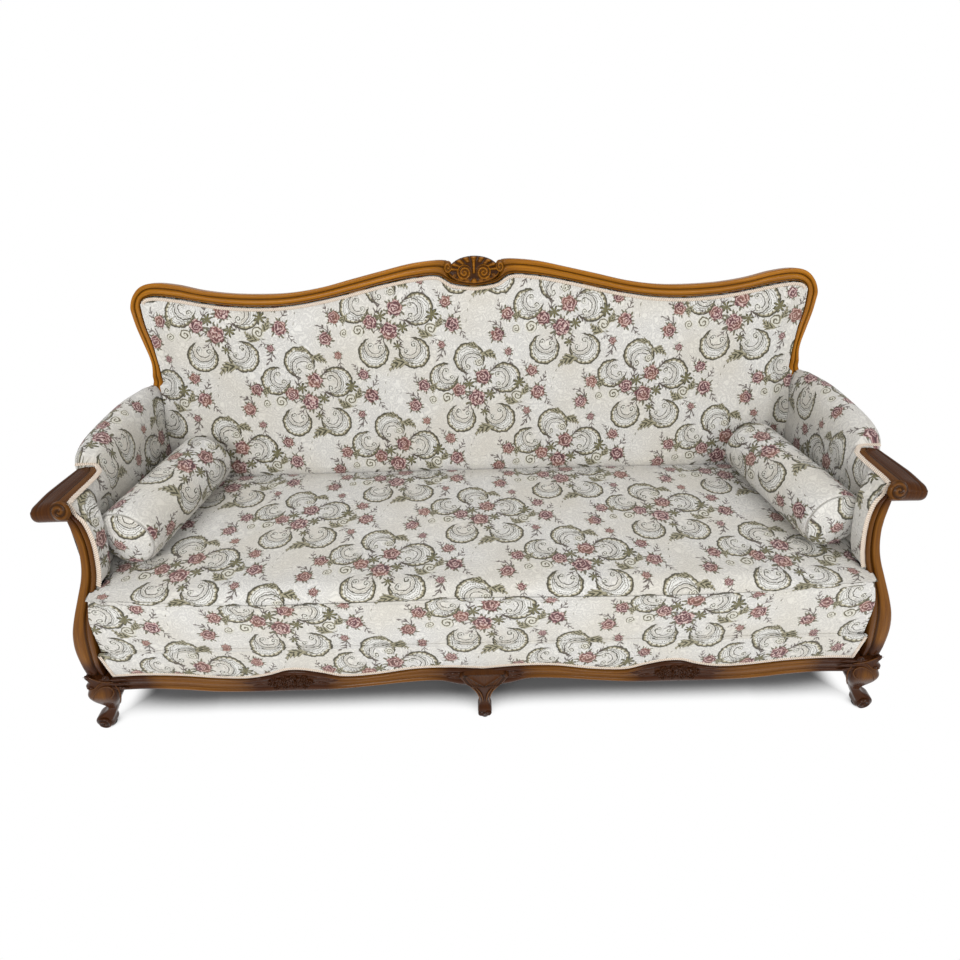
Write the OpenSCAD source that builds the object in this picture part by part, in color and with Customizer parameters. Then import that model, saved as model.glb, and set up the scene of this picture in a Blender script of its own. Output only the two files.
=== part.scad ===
// Cabriole sofa: a carved show-wood frame with a serpentine crest, scrolled arms, a sprung seat
// and two loose bolsters. Millimetres, +Z up, the front faces -Y, and the origin is on the floor
// under the middle of the sofa.

/* [Overall] */
// Width over the scrolled toes
width = 2040; // [1800:10:2300]
// Depth from the toes to the back of the crest
depth = 746; // [700:2:820]
// Height to the top of the crest carving
height = 1001; // [960:1:1080]
// Lean of the back from upright, degrees
lean = 13.46; // [10:0.02:16]

/* [Heights] */
// Height of the front rail's top edge at the corners
rail_z = 192; // [180:1:205]
// Height of the seat's front edge at the crown
seat_z = 467; // [455:1:480]
// Height of the hand rests
arm_z = 665; // [650:1:690]
// Fall of the seat towards the back, degrees
seat_tilt = 3.5; // [2:0.1:5]

/* [Show wood] */
// Thickness of the front rail
rail_t = 30; // [24:1:36]
// Thickness of the crest rail
crest_t = 36; // [30:1:42]
// Depth of the arm stumps
stump_t = 50; // [42:1:58]
// Depth of the rear posts
post_t = 42; // [36:1:50]
// Thickness of the hand rests
hand_t = 28; // [24:1:32]
// Diameter of the hand rests' knuckles
knuckle_d = 45; // [40:1:50]
// Room in front of the rail for the feet and their carving
toe_out = 18; // [12:1:24]

/* [Hidden wood] */
// Thickness of the side rails
side_rail_t = 30; // [24:1:36]
// Height of the side and rear rails
hidden_rail_h = 58; // [48:1:66]
// Thickness of the rear rail
rear_rail_t = 28; // [22:1:32]
// Thickness of the arm rails
arm_rail_t = 31; // [26:1:34]
// Height of the arm rails
arm_rail_h = 46; // [36:1:56]
// Width of the back's uprights and of the seat's stretchers
strut_w = 45; // [35:1:55]
// Height of the seat's stretchers
stretcher_h = 30; // [24:1:40]
// Height of the back's lower rail
back_rail_h = 50; // [40:1:60]
// Diameter of the dowels
dowel_d = 10; // [8:0.5:12]
// Length of a dowel on each side of its joint
dowel_l = 12; // [8:1:14]

/* [Upholstery] */
// Diameter of the welts
welt_d = 8; // [6:0.5:10]
// Width of the gimp braid
gimp_w = 9; // [7:0.5:11]
// Thickness of the gimp braid
gimp_t = 2; // [1.5:0.1:2.5]
// Height of the seat's front border
border_h = 152; // [140:1:160]
// Thickness of the border and its stuffing
border_t = 30; // [24:1:34]
// Thickness of the apron
apron_t = 8; // [6:1:12]
// Crown of the back pad in front of its edges
back_crown = 17; // [10:1:22]
// Thickness of the seat's top stuffing at its front edge
seat_pad_h = 75; // [65:1:85]
// Thickness of the cover panels outside
cover_t = 3; // [2:0.5:4]
// Diameter of a bolster
bolster_d = 148; // [130:1:152]
// Length of a bolster
bolster_l = 378; // [320:1:385]

/* [Springs and webbing] */
// Number of spring columns across the seat
spring_cols = 7; // [5:1:8]
// Number of spring rows from front to back
spring_rows = 3; // [2:1:3]
// Diameter of a spring's end coils
spring_d = 92; // [80:1:100]
// Diameter of the spring wire
wire_d = 4; // [3:0.5:5]
// Width of a webbing strap
strap_w = 50; // [40:1:60]
// Thickness of the webbing
strap_t = 2; // [1.5:0.1:3]

/* [Clearances] */
// Gap where a piece seats on the one that carries it
fit_gap = 0.3; // [0.2:0.05:0.5]
// Gap between soft pieces side by side
soft_gap = 1.5; // [1:0.1:2]
// Dark gutter between the border and the stumps, at its foot
gutter = 12; // [8:1:16]

/* [Hidden] */
$fn = 48;

// Half of the width: places across the sofa are shares of it
hw = width/2;
// The front face of the front rail: places in depth are counted back from it
y_front = -depth/2 + toe_out;
// Height and place of the line where the back's face starts
back_z = seat_z*0.955;
crest_s = (height - back_z)/cos(lean);
crest_top_share = 0.984;
back_y = depth/2 - crest_t*cos(lean) - crest_top_share*crest_s*sin(lean);
// Height of the glides under the feet
glide_t = 4;
glide_d = 26;
// Depth of the pocket that the back pad lies in, behind the show-wood face
pad_in = 8;
// Depth behind that face at which the webbing ends and the hidden wood starts
wood_in = pad_in + 2*fit_gap + strap_t;
// Radius of the edge roll in front of the seat
seat_roll = 40;
// Overrun that keeps a cut clear of the faces it passes
cut = 1;

// Shape functions
function lerp(a, b, t) = a + (b - a)*t;
function clamp(v, lo, hi) = min(max(v, lo), hi);
function ease(v) = let (t = clamp(v, 0, 1)) t*t*(3 - 2*t);
function row_of(t, x, i = 0) = i >= len(t) - 2 || x < t[i + 1][0] ? i : row_of(t, x, i + 1);
function slope(t, i, c) =
    let (a = max(i - 1, 0), b = min(i + 1, len(t) - 1)) (t[b][c] - t[a][c])/(t[b][0] - t[a][0]);
// Smooth curve through a table's rows: column 0 is where, column c is the value
function curve(t, x, c = 1) =
    let (i = row_of(t, x), h = t[i + 1][0] - t[i][0], u = clamp((x - t[i][0])/h, 0, 1))
    t[i][c]*(2*pow(u, 3) - 3*u*u + 1) + slope(t, i, c)*h*(pow(u, 3) - 2*u*u + u)
    + t[i + 1][c]*(3*u*u - 2*pow(u, 3)) + slope(t, i + 1, c)*h*(pow(u, 3) - u*u);
function total(v, i = 0) = i >= len(v) - 1 ? v[i] : v[i] + total(v, i + 1);
function middle(r) = total(r)/len(r);
function winding(r) = total([for (j = [0:len(r) - 1]) cross(r[j], r[(j + 1) % len(r)])]);
function flipped(r) = [for (j = [len(r) - 1:-1:0]) r[j]];

// A solid through rings of points, closed by flat ends or by strips across hollow ends
module loft(rings, strips = false) {
    n = len(rings[0]);
    m = len(rings);
    turn = (winding(rings[0])*(middle(rings[1]) - middle(rings[0]))) < 0;
    r = turn ? [for (ring = rings) flipped(ring)] : rings;
    top = (m - 1)*n;
    sides = [for (i = [0:m - 2], j = [0:n - 1]) let (a = i*n + j, b = i*n + (j + 1) % n)
        each [[a, a + n, b + n], [a, b + n, b]]];
    half = n/2;
    ends = strips
        ? [for (j = [0:half - 2]) let (a = j, b = j + 1, c = n - 2 - j, d = n - 1 - j)
            each [[a, b, c], [a, c, d], [top + b, top + a, top + d], [top + b, top + d, top + c]]]
        : [[for (j = [0:n - 1]) j], [for (j = [n - 1:-1:0]) top + j]];
    polyhedron([for (ring = r) each ring], concat(sides, ends), convexity = 10);
}

// A tube of flat sides along a path, its ring upright across the path
module tube(path, d, sides = 6) {
    last = len(path) - 1;
    loft([for (i = [0:last])
        let (dir = path[min(i + 1, last)] - path[max(i - 1, 0)],
            across = cross(dir, [0, 0, 1]), u = across/norm(across), w = cross(u, dir)/norm(dir))
        [for (k = [0:sides - 1]) path[i] + d/2*(cos(k*360/sides)*u + sin(k*360/sides)*w)]]);
}

// A point at s behind the rail's face
function pt(x, s, z) = [x, y_front + s, z];
// A point on the leaning back: off in front of its face, up along it
function bp(x, off, up) =
    [x, back_y - off*cos(lean) + up*sin(lean), back_z + off*sin(lean) + up*cos(lean)];
// How far behind the rail's face the leaning back is at a height
function back_s(off, z) = back_y - y_front + (z - back_z)*tan(lean) - off/cos(lean);

// The front rail's edges, in shares of the half width and of the rail's height
rail_top_shares = [[0, 0.980], [0.083, 1.020], [0.170, 1.010], [0.265, 0.922], [0.345, 0.896],
    [0.392, 0.974], [0.441, 1.042], [0.480, 1.042], [0.521, 0.964], [0.574, 0.906],
    [0.644, 0.922], [0.738, 0.990], [0.832, 1.018], [0.907, 1.000]];
rail_foot_shares = [[0, 0.688], [0.055, 0.692], [0.108, 0.786], [0.186, 0.776], [0.275, 0.719],
    [0.385, 0.656], [0.485, 0.651], [0.578, 0.656], [0.667, 0.677], [0.751, 0.740],
    [0.828, 0.771], [0.907, 0.760]];
rail_end_share = 0.907;
function rail_top(x) = rail_z*curve(rail_top_shares, abs(x)/hw);
function rail_foot(x) = rail_z*curve(rail_foot_shares, abs(x)/hw);
// The rail's moulded section: shares of its thickness back from the face, and of its height
rail_section_shares = [[1, 0], [1, 1], [0.2, 1], [0.06, 0.94], [0, 0.84], [0.06, 0.62],
    [0.09, 0.42], [0.02, 0.28], [0.02, 0.12], [0.12, 0]];

// The arm stumps from the rail up to the hand rest: height, outer edge, inner edge, front face
stump_shares = [[0, 0.966, 0.9225, 0.012], [0.085, 0.967, 0.9215, 0.013],
    [0.216, 0.962, 0.910, 0.015], [0.33, 0.950, 0.901, 0.020], [0.43, 0.934, 0.892, 0.032],
    [0.54, 0.914, 0.8755, 0.050], [0.65, 0.894, 0.860, 0.067], [0.737, 0.884, 0.8535, 0.080],
    [0.838, 0.880, 0.851, 0.095], [0.917, 0.884, 0.855, 0.107], [0.96, 0.8865, 0.861, 0.113],
    [1, 0.887, 0.873, 0.118]];
stump_top = arm_z - hand_t;
function stump_share(z) = clamp((z - rail_z)/(stump_top - rail_z), 0, 1);
function stump_out(z) = hw*curve(stump_shares, stump_share(z), 1);
function stump_in(z) = hw*curve(stump_shares, stump_share(z), 2);
function stump_s(z) = depth*curve(stump_shares, stump_share(z), 3);
function stump_back(z) = stump_s(z) + stump_t;
// Depth of the front leg blocks, flush behind with the stumps
leg_t = stump_back(rail_z);

// Inner face of the arms: the stump's inner edge, easing out to a panel behind it that is
// fuller at the top
arm_share = 0.887;
arm_full_share = 0.880;
arm_blend_share = 0.06;
arm_x = hw*arm_share;
function arm_panel(z) = hw*lerp(arm_share, arm_full_share, ease((z - arm_z*0.85)/(arm_z*0.10)));
function arm_in(s, z) =
    lerp(stump_in(z), arm_panel(z), ease((s - stump_back(z))/(depth*arm_blend_share)));
arm_panel_foot = seat_z*0.64;
arm_top_h = arm_z*0.038;

// Seat heights: its falling top, its welts and its underside
function seat_top(x, s) = seat_z - s*tan(seat_tilt) - seat_crown*pow(x/hw, 2);
seat_crown = 8;
welt_rise_shares = [[0, 0.930], [0.4, 0.914], [0.7, 0.920], [0.87, 0.955], [1, 0.968]];
function welt_z(p) = seat_z*curve(welt_rise_shares, abs(p));
border_foot = seat_z - seat_roll + seat_crown - border_h;
seat_under = seat_z - seat_pad_h;
border_s = 8;

// The crest's edges from the middle to the ears: outer edge, then inner edge, each in shares of
// the half width and of the back's height
crest_shares = [[0, 0.977, 0, 0.865], [0.059, 0.980, 0.057, 0.880], [0.098, 0.984, 0.096, 0.917],
    [0.167, 0.971, 0.162, 0.910], [0.244, 0.941, 0.238, 0.886], [0.324, 0.908, 0.316, 0.854],
    [0.405, 0.874, 0.397, 0.823], [0.484, 0.854, 0.480, 0.800], [0.557, 0.850, 0.564, 0.793],
    [0.642, 0.856, 0.652, 0.802], [0.719, 0.874, 0.727, 0.822], [0.784, 0.901, 0.779, 0.840],
    [0.839, 0.912, 0.826, 0.852], [0.875, 0.899, 0.851, 0.854], [0.900, 0.858, 0.873, 0.843],
    [0.913, 0.805, 0.884, 0.811], [0.912, 0.760, 0.884, 0.760]];
crest_rows = [for (i = [0:len(crest_shares) - 1]) concat([i], crest_shares[i])];
crest_last = len(crest_shares) - 1;
// The crest's moulded section: shares of its width from the inner edge, and of its thickness
crest_section_shares = [[0, -1], [1, -1], [1, -0.22], [0.94, -0.06], [0.82, 0], [0.68, 0],
    [0.6, -0.09], [0.5, -0.02], [0.26, -0.02], [0.08, -0.1], [0, -0.22]];
cartouche_share = 0.070;
function crest_out(u) = [hw*curve(crest_rows, u, 1), crest_s*curve(crest_rows, u, 2)];
function crest_in(u) = [hw*curve(crest_rows, u, 3), crest_s*curve(crest_rows, u, 4)];
crest_in_rows = [for (c = crest_shares) if (c[2] < 0.884 || c[3] > 0.8) [c[2], c[3]]];
function crest_under(x) = crest_s*curve(crest_in_rows, abs(x)/hw);

// The rear posts below the seat: height, inner edge, outer edge, front face from the back's line
post_low_shares = [[0, 0.887, 0.930, 0.040], [0.22, 0.882, 0.926, -0.002],
    [0.45, 0.877, 0.929, -0.026], [0.67, 0.8725, 0.929, -0.026], [0.85, 0.868, 0.928, -0.010]];
// The rear posts up the back: height, inner edge, outer edge
post_high_shares = [[0, 0.8667, 0.928], [0.277, 0.8667, 0.927], [0.368, 0.8667, 0.918],
    [0.416, 0.8667, 0.906], [0.44, 0.8667, 0.899], [0.52, 0.868, 0.889], [0.566, 0.870, 0.890],
    [0.638, 0.8735, 0.899], [0.71, 0.881, 0.908], [0.76, 0.884, 0.912]];
post_joint_share = 0.76;
// Shares of the back's height between which the posts' faces come forward out of the padding
arm_lap_shares = [0.006, 0.040] + (arm_z + arm_top_h - back_z)/(height - back_z)*[1, 1];
function post_low(z, c) = curve(post_low_shares, z/back_z, c);
function post_in(up) = hw*curve(post_high_shares, clamp(up/crest_s, 0, 1), 1);

// Hidden rails
frame_foot = rail_z*0.79;
side_rail_top = frame_foot + hidden_rail_h;
rear_rail_s = back_y - y_front - depth*0.020;
side_front_x = hw*0.959;
side_rear_x = hw*0.924;
leg_in_x = hw*rail_end_share;

// A moulded bar whose section runs from foot to top at each place across
function rail_ring(x) =
    let (lo = rail_foot(x), hi = rail_top(x))
    [for (q = rail_section_shares) pt(x, q[0]*rail_t, lerp(lo, hi, q[1]))];

rail_steps = 52;
rail_end = leg_in_x - fit_gap;
rail_xs = [for (i = [0:rail_steps]) lerp(-rail_end, rail_end, i/rail_steps)];
apron_end = leg_in_x - 4*soft_gap;
module front_rail() {
    color("#A8702A")
    loft([for (x = rail_xs) rail_ring(x)]);
}

// Unit outline of a carved post's section, its corners eased
function post_ring(x0, x1, s0, s1, z, ease_share) =
    let (e = 1 - ease_share, mx = (x0 + x1)/2, my = (s0 + s1)/2, ax = (x1 - x0)/2, ay = (s1 - s0)/2)
    [for (q = [[-1, -e], [-e, -1], [e, -1], [1, -e], [1, e], [e, 1], [-e, 1], [-1, e]])
        pt(mx + q[0]*ax, my + q[1]*ay, z)];

// The scrolled front legs: height, inner side, outer side, front, back, corner easing
leg_shares = [[0.021, 0.957, 0.990, 0.000, 0.034, 0.4], [0.06, 0.951, 0.998, -0.007, 0.042, 0.5],
    [0.15, 0.949, 0.999, -0.009, 0.043, 0.5], [0.21, 0.945, 0.990, -0.004, 0.042, 0.5],
    [0.28, 0.940, 0.970, 0.004, 0.041, 0.45], [0.35, 0.935, 0.963, 0.008, 0.042, 0.4],
    [0.43, 0.929, 0.968, 0.004, 0.047, 0.4], [0.52, 0.919, 0.979, -0.004, 0.058, 0.35],
    [0.60, 0.911, 0.985, -0.009, 0.068, 0.3], [0.70, 0.907, 0.984, -0.011, 0.074, 0.22],
    [0.80, 0.907, 0.975, -0.007, 0.075, 0.2], [0.86, 0.907, 0.979, -0.004, 0.075, 0.2],
    [0.93, 0.907, 0.966, 0.000, 0.075, 0.2], [1, 0.907, 0.972, 0.002, 0.075, 0.2]];
module front_leg() {
    back = leg_t/(depth*leg_shares[13][4]);
    color("#5A3418")
    loft([for (q = leg_shares)
        post_ring(hw*q[1], hw*q[2], depth*q[3], depth*q[4]*back, rail_z*q[0], q[5])]);
}
module front_leg_right() { front_leg(); }
module front_leg_left() { mirror([1, 0, 0]) front_leg(); }

module arm_stump() {
    steps = 20;
    color("#7A4A20")
    loft([for (i = [0:steps]) let (z = lerp(rail_z, stump_top, i/steps))
        post_ring(stump_in(z), stump_out(z), stump_s(z), stump_back(z), z, 0.35)]);
}
module arm_stump_right() { arm_stump(); }
module arm_stump_left() { mirror([1, 0, 0]) arm_stump(); }

// Hand rests: a board with a rolled knuckle in front, wider there than behind
hand_in = hw*0.8885;
hand_front_x = hw*0.965;
hand_rear_x = hw*0.938;
hand_s = depth*0.108;
hand_l = depth*0.220;
hand_rear_s = hand_s + hand_l;
knuckle_s = hand_s + knuckle_d/2;
module hand_rest() {
    color("#5E3A1C")
    intersection() {
        rotate([90, 0, 90])
        linear_extrude(hand_front_x + cut) union() {
            translate([y_front + knuckle_s, arm_z - knuckle_d/2]) circle(d = knuckle_d);
            translate([y_front + knuckle_s, arm_z - hand_t]) square([hand_rear_s - knuckle_s, hand_t]);
        }
        translate([0, 0, arm_z - knuckle_d - cut])
        linear_extrude(knuckle_d + 2*cut)
        polygon([[hand_in, y_front + hand_s - cut], [hand_in, y_front + hand_rear_s],
            [hand_rear_x, y_front + hand_rear_s],
            [lerp(hand_rear_x, hand_front_x, 0.45), y_front + lerp(hand_rear_s, hand_s, 0.5)],
            [hand_front_x, y_front + lerp(hand_rear_s, hand_s, 0.85)],
            [hand_front_x, y_front + hand_s - cut]]);
    }
}
module hand_rest_right() { hand_rest(); }
module hand_rest_left() { mirror([1, 0, 0]) hand_rest(); }

// Middle leg under the front rail: height, half width, front, back
centre_leg_shares = [[0.021, 0.011, -0.002, 0.034], [0.10, 0.017, -0.010, 0.036],
    [0.20, 0.018, -0.010, 0.038], [0.27, 0.014, 0.000, 0.040], [0.36, 0.013, 0.002, 0.042],
    [0.48, 0.021, 0.002, 0.042], [0.59, 0.033, 0.001, 0.041], [0.66, 0.047, 0.001, 0.040]];
module front_centre_leg() {
    under = min([for (i = [0:6]) rail_foot(hw*0.05*i/6)]) - fit_gap;
    tall = under/(rail_z*0.66);
    color("#4A2A1C")
    loft([for (q = centre_leg_shares) post_ring(-hw*q[1], hw*q[1], depth*q[2], depth*q[3],
        rail_z*q[0]*(q[0] > 0.1 ? tall : 1), 0.3)]);
}

rear_leg_w = 40;
rear_leg_d = 32;
rear_leg_s = rear_rail_s + rear_rail_t*0.4;
rear_leg_rake = depth*0.05;
rear_leg_taper_share = 0.7;
module rear_centre_leg() {
    top_z = frame_foot - fit_gap;
    w = rear_leg_w*rear_leg_taper_share;
    d = rear_leg_d*rear_leg_taper_share;
    s = rear_leg_s + rear_leg_rake;
    color("#5A3418")
    loft([post_ring(-w/2, w/2, s, s + d, glide_t, 0.3),
        post_ring(-rear_leg_w/2, rear_leg_w/2, rear_leg_s, rear_leg_s + rear_leg_d, top_z, 0.2)]);
}

// A rear post: the leg raked below the seat, the stile leaning with the back above it
function post_low_ring(q) =
    let (s0 = back_y - y_front + depth*q[3], z = max(back_z*q[0], glide_t))
    [pt(hw*q[1], s0, z), pt(hw*q[2], s0, z), pt(hw*q[2], s0 + post_t, z), pt(hw*q[1], s0 + post_t, z)];
function post_face(v) =
    let (t = (v - arm_lap_shares[0])/(arm_lap_shares[1] - arm_lap_shares[0])) -(pad_in + fit_gap)*(1 - ease(t));
function post_high_ring(q) =
    let (up = crest_s*q[0], f = post_face(q[0]))
    [bp(hw*q[1], f, up), bp(hw*q[2], f, up), bp(hw*q[2], -crest_t, up), bp(hw*q[1], -crest_t, up)];
post_marks = [0, 0.14, 0.277, 0.368, arm_lap_shares[0], arm_lap_shares[1], 0.53, 0.566, 0.638, 0.71, 0.76];
module rear_post() {
    color("#8A5A24")
    difference() {
        loft(concat([for (q = post_low_shares) post_low_ring(q)],
            [for (v = post_marks) post_high_ring([v - fit_gap/crest_s, curve(post_high_shares, v, 1),
                curve(post_high_shares, v, 2)])]));
        rear_pins(fit_gap);
        crest_pin(fit_gap);
    }
}
module rear_post_right() { rear_post(); }
module rear_post_left() { mirror([1, 0, 0]) rear_post(); }

// The crest's ring at a place along it, set back behind the carving in the middle
function crest_ring(u) =
    let (side = u < 0 ? -1 : 1, o = crest_out(abs(u)), n = crest_in(abs(u)),
        set_back = abs(u) < 1.51 ? crest_t/2 : 0)
    [for (q = crest_section_shares)
        bp(side*lerp(n[0], o[0], q[0]), max(q[1]*crest_t, -crest_t) - (q[1] > -1 ? set_back*(1 + q[1]) : 0),
            lerp(n[1], o[1], q[0]))];
module crest_rail() {
    marks = [for (i = [0:2*crest_last]) i/2];
    color("#C68A2E")
    difference() {
        loft([for (k = [-len(marks) + 1:len(marks) - 1]) crest_ring(sign(k)*marks[abs(k)])]);
        crest_pin(fit_gap);
        mirror([1, 0, 0]) crest_pin(fit_gap);
    }
}

// Shell carving on the middle of the crest: a fan of flutes over two scrolls and a foot
shell_w = 2*hw*cartouche_share;
shell_h = crest_s*0.128;
shell_flutes = 9;
shell_t = 10;
module back_frame() {
    translate([0, back_y, back_z]) rotate([-lean, 0, 0]) children();
}
module crest_cartouche() {
    thick = crest_t/2 + shell_t;
    foot = crest_s - shell_h - (thick - crest_t/2)*tan(lean);
    r = shell_h*0.26;
    color("#6A3E1A")
    back_frame()
    translate([0, crest_t/2 - fit_gap, 0])
    rotate([90, 0, 0])
    linear_extrude(thick) union() {
        translate([0, foot + shell_h*0.32])
        for (i = [0:shell_flutes - 1]) {
            a = lerp(8, 172, i/(shell_flutes - 1));
            reach = lerp(shell_w*0.40, shell_h*0.575, pow(sin(a), 2));
            translate([reach*cos(a), reach*sin(a)]) circle(r = shell_h*0.105);
            rotate(a) translate([0, -shell_h*0.06]) square([reach, shell_h*0.12]);
        }
        for (side = [-1, 1]) translate([side*shell_w*0.27, foot + shell_h*0.36]) circle(r = r);
        translate([0, foot + shell_h*0.25]) circle(r = shell_h*0.25);
        translate([-shell_w*0.3, foot + shell_h*0.12]) square([shell_w*0.6, shell_h*0.2]);
    }
}

// Carved flower clusters on the front rail, with leaves to each side
spray_x = hw*0.476;
spray_w = hw*0.118;
leaf_l = hw*0.055;
spray_t = 11;
module spray(w, h, leaf) {
    petals = 5;
    rotate([90, 0, 0])
    linear_extrude(spray_t) union() {
        for (i = [-1, 0, 1]) translate([i*w*0.27, (i == 0 ? 0.04 : -0.02)*h]) {
            circle(r = h*0.30);
            for (k = [0:petals - 1]) rotate(k*360/petals + 90) translate([h*0.25, 0]) circle(r = h*0.17);
        }
        for (side = [-1, 1], tilt = [-16, 14])
            translate([side*w*0.36, 0]) rotate(side*tilt) translate([side*leaf*0.45, 0])
            intersection() {
                translate([0, leaf*0.55]) circle(r = leaf*0.75);
                translate([0, -leaf*0.55]) circle(r = leaf*0.75);
            }
    }
}
module rail_cartouche(side) {
    lo = rail_foot(spray_x);
    hi = rail_top(spray_x);
    color("#4A2A1C")
    translate([side*spray_x, y_front - fit_gap, (lo + hi)/2]) spray(spray_w, hi - lo, leaf_l);
}
module rail_cartouche_right() { rail_cartouche(1); }
module rail_cartouche_left() { rail_cartouche(-1); }
module rail_cartouche_centre() {
    lo = rail_foot(0);
    hi = rail_top(0);
    h = hi - lo;
    w = hw*0.062;
    color("#4A2A1C")
    translate([0, y_front - fit_gap, lo])
    rotate([90, 0, 0])
    linear_extrude(spray_t) union() {
        polygon([[-w*0.5, 0], [w*0.5, 0], [w*0.78, h*0.30], [w, h*0.72], [w*0.72, h*0.98],
            [0, h*0.92], [-w*0.72, h*0.98], [-w, h*0.72], [-w*0.78, h*0.30]]);
        for (side = [-1, 1]) translate([side*w*1.05, h*0.60]) rotate(side*8) intersection() {
            translate([0, w*0.62]) circle(r = w*0.85);
            translate([0, -w*0.62]) circle(r = w*0.85);
        }
    }
}

// Hidden frame
module side_rail() {
    f = stump_back(side_rail_top) + fit_gap;
    r = post_front(side_rail_top) - fit_gap;
    color("#8F6A42")
    translate([0, y_front, frame_foot])
    linear_extrude(hidden_rail_h)
    polygon([[side_front_x - side_rail_t, f], [side_front_x, f], [side_rear_x, r],
        [side_rear_x - side_rail_t, r]]);
}
// Front face of a rear post below the seat, behind the rail's face
post_low_faces = concat([for (q = post_low_shares) [back_z*q[0], back_y - y_front + depth*q[3]]],
    [[back_z, back_s(-pad_in, back_z)]]);
function post_face_s(z) = lookup(z, post_low_faces);
// The part of it that stands nearest the front
function post_front(z) = back_y - y_front + depth*min([for (q = post_low_shares) q[3]]);
module side_rail_right() { side_rail(); }
module side_rail_left() { mirror([1, 0, 0]) side_rail(); }

post_low_in = hw*min([for (q = post_low_shares) q[0] > 0.2 && q[0] < 0.7 ? q[1] : 1]);
module rear_rail() {
    end = post_low_in - fit_gap;
    color("#8F6A42")
    difference() {
        translate([-end, y_front + rear_rail_s, frame_foot]) cube([2*end, rear_rail_t, hidden_rail_h]);
        rear_pins(fit_gap);
        mirror([1, 0, 0]) rear_pins(fit_gap);
    }
}

arm_rail_out = hand_in + hw*0.009 + arm_rail_t;
module arm_rail() {
    z1 = stump_top - fit_gap;
    z0 = z1 - arm_rail_h;
    f = hand_rear_s - depth*0.040;
    r0 = back_s(-pad_in, z0) - fit_gap;
    r1 = back_s(-pad_in, z1) - fit_gap;
    x0 = arm_rail_out - arm_rail_t;
    color("#8F6A42")
    translate([x0, y_front, 0])
    rotate([90, 0, 90])
    linear_extrude(arm_rail_t) polygon([[f, z0], [r0, z0], [r1, z1], [f, z1]]);
}
module arm_rail_right() { arm_rail(); }
module arm_rail_left() { mirror([1, 0, 0]) arm_rail(); }

back_rail_up = 0;
module back_lower_rail() {
    end = hw*post_high_shares[0][1] - fit_gap;
    color("#8F6A42")
    back_frame()
    translate([-end, wood_in, back_rail_up]) cube([2*end, crest_t - wood_in, back_rail_h]);
}

upright_x = hw*0.31;
module back_uprights() {
    foot = back_rail_up + back_rail_h + fit_gap;
    color("#8F6A42")
    back_frame()
    for (side = [-1, 1]) {
        inner = upright_x - strut_w/2;
        outer = upright_x + strut_w/2;
        top_in = crest_under(inner) - soft_gap/2;
        top_out = crest_under(outer) - soft_gap/2;
        translate([0, crest_t, 0])
        rotate([90, 0, 0])
        linear_extrude(crest_t - wood_in)
        polygon([[side*inner, foot], [side*outer, foot], [side*outer, top_out], [side*inner, top_in]]);
    }
}

col_pitch = 2*leg_in_x/spring_cols;
row_pitch = (rear_rail_s - rail_t)/(spring_rows + 0.3);
module seat_stretchers() {
    gap = rail_t + fit_gap;
    color("#8F6A42")
    for (side = [-1, 1])
        translate([side*col_pitch*1.5 - strut_w/2, y_front + gap, frame_foot + fit_gap])
        cube([strut_w, rear_rail_s - gap - fit_gap, stretcher_h]);
}

block_l = 62;
block_h = 34;
module corner_blocks() {
    f = rail_t + fit_gap;
    b = leg_t + fit_gap;
    x0 = leg_in_x - fit_gap;
    x1 = side_front_x - side_rail_t - fit_gap;
    slant = (side_front_x - side_rear_x)/(post_front(0) - leg_t)*block_l;
    rs = rear_rail_s - fit_gap;
    xr = side_rear_x - side_rail_t - fit_gap;
    color("#8F6A42")
    for (side = [-1, 1]) scale([side, 1, 1]) translate([0, y_front, frame_foot + fit_gap])
    linear_extrude(block_h) {
        polygon([[x0 - block_l, f], [x0, f], [x0, b], [x1 - slant, b], [x1 - slant, b + block_l]]);
        polygon([[post_low_in - block_l, rs], [post_low_in, rs], [post_low_in, rs - block_l*0.3],
            [xr - slant*0.2, rs - block_l]]);
    }
}

// Dowels: two across each end of the rear rail and one up into each end of the crest; the slack
// widens the holes drilled for them
rear_dowel_levels_share = [0.3, 0.7];
module pin(slack) { cylinder(d = dowel_d + 2*slack, h = 2*(dowel_l + slack), center = true, $fn = 24); }
module rear_pins(slack) {
    for (v = rear_dowel_levels_share)
        translate([post_low_in, y_front + rear_rail_s + rear_rail_t/2, frame_foot + hidden_rail_h*v])
        rotate([0, 90, 0]) pin(slack);
}
module crest_pin(slack) {
    crest_end = (crest_shares[crest_last][0] + crest_shares[crest_last][2])/2*hw;
    back_frame() translate([crest_end, crest_t*0.55, crest_s*post_joint_share]) pin(slack);
}
module dowels() {
    color("#C9A26A")
    for (side = [-1, 1]) scale([side, 1, 1]) {
        rear_pins(0);
        crest_pin(0);
    }
}

// Nail-on glides under the six feet
foot_x = hw*0.9725;
foot_s = depth*0.016;
rear_foot_x = hw*0.9085;
rear_foot_s = back_y - y_front + depth*0.040 + post_t/2;
centre_foot_s = depth*0.013;
rear_centre_foot_s = rear_leg_s + rear_leg_rake + rear_leg_d*rear_leg_taper_share/2;
module glides() {
    spots = [[0, centre_foot_s], [0, rear_centre_foot_s], [foot_x, foot_s], [-foot_x, foot_s],
        [rear_foot_x, rear_foot_s], [-rear_foot_x, rear_foot_s]];
    color("#3A3A3A")
    for (p = spots) translate([p[0], y_front + p[1], 0])
        cylinder(d1 = glide_d*0.86, d2 = glide_d, h = glide_t - fit_gap);
}

// Webbing under the frame, springs on it, and the hessian over them
web_z = frame_foot - fit_gap - strap_t;
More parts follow.
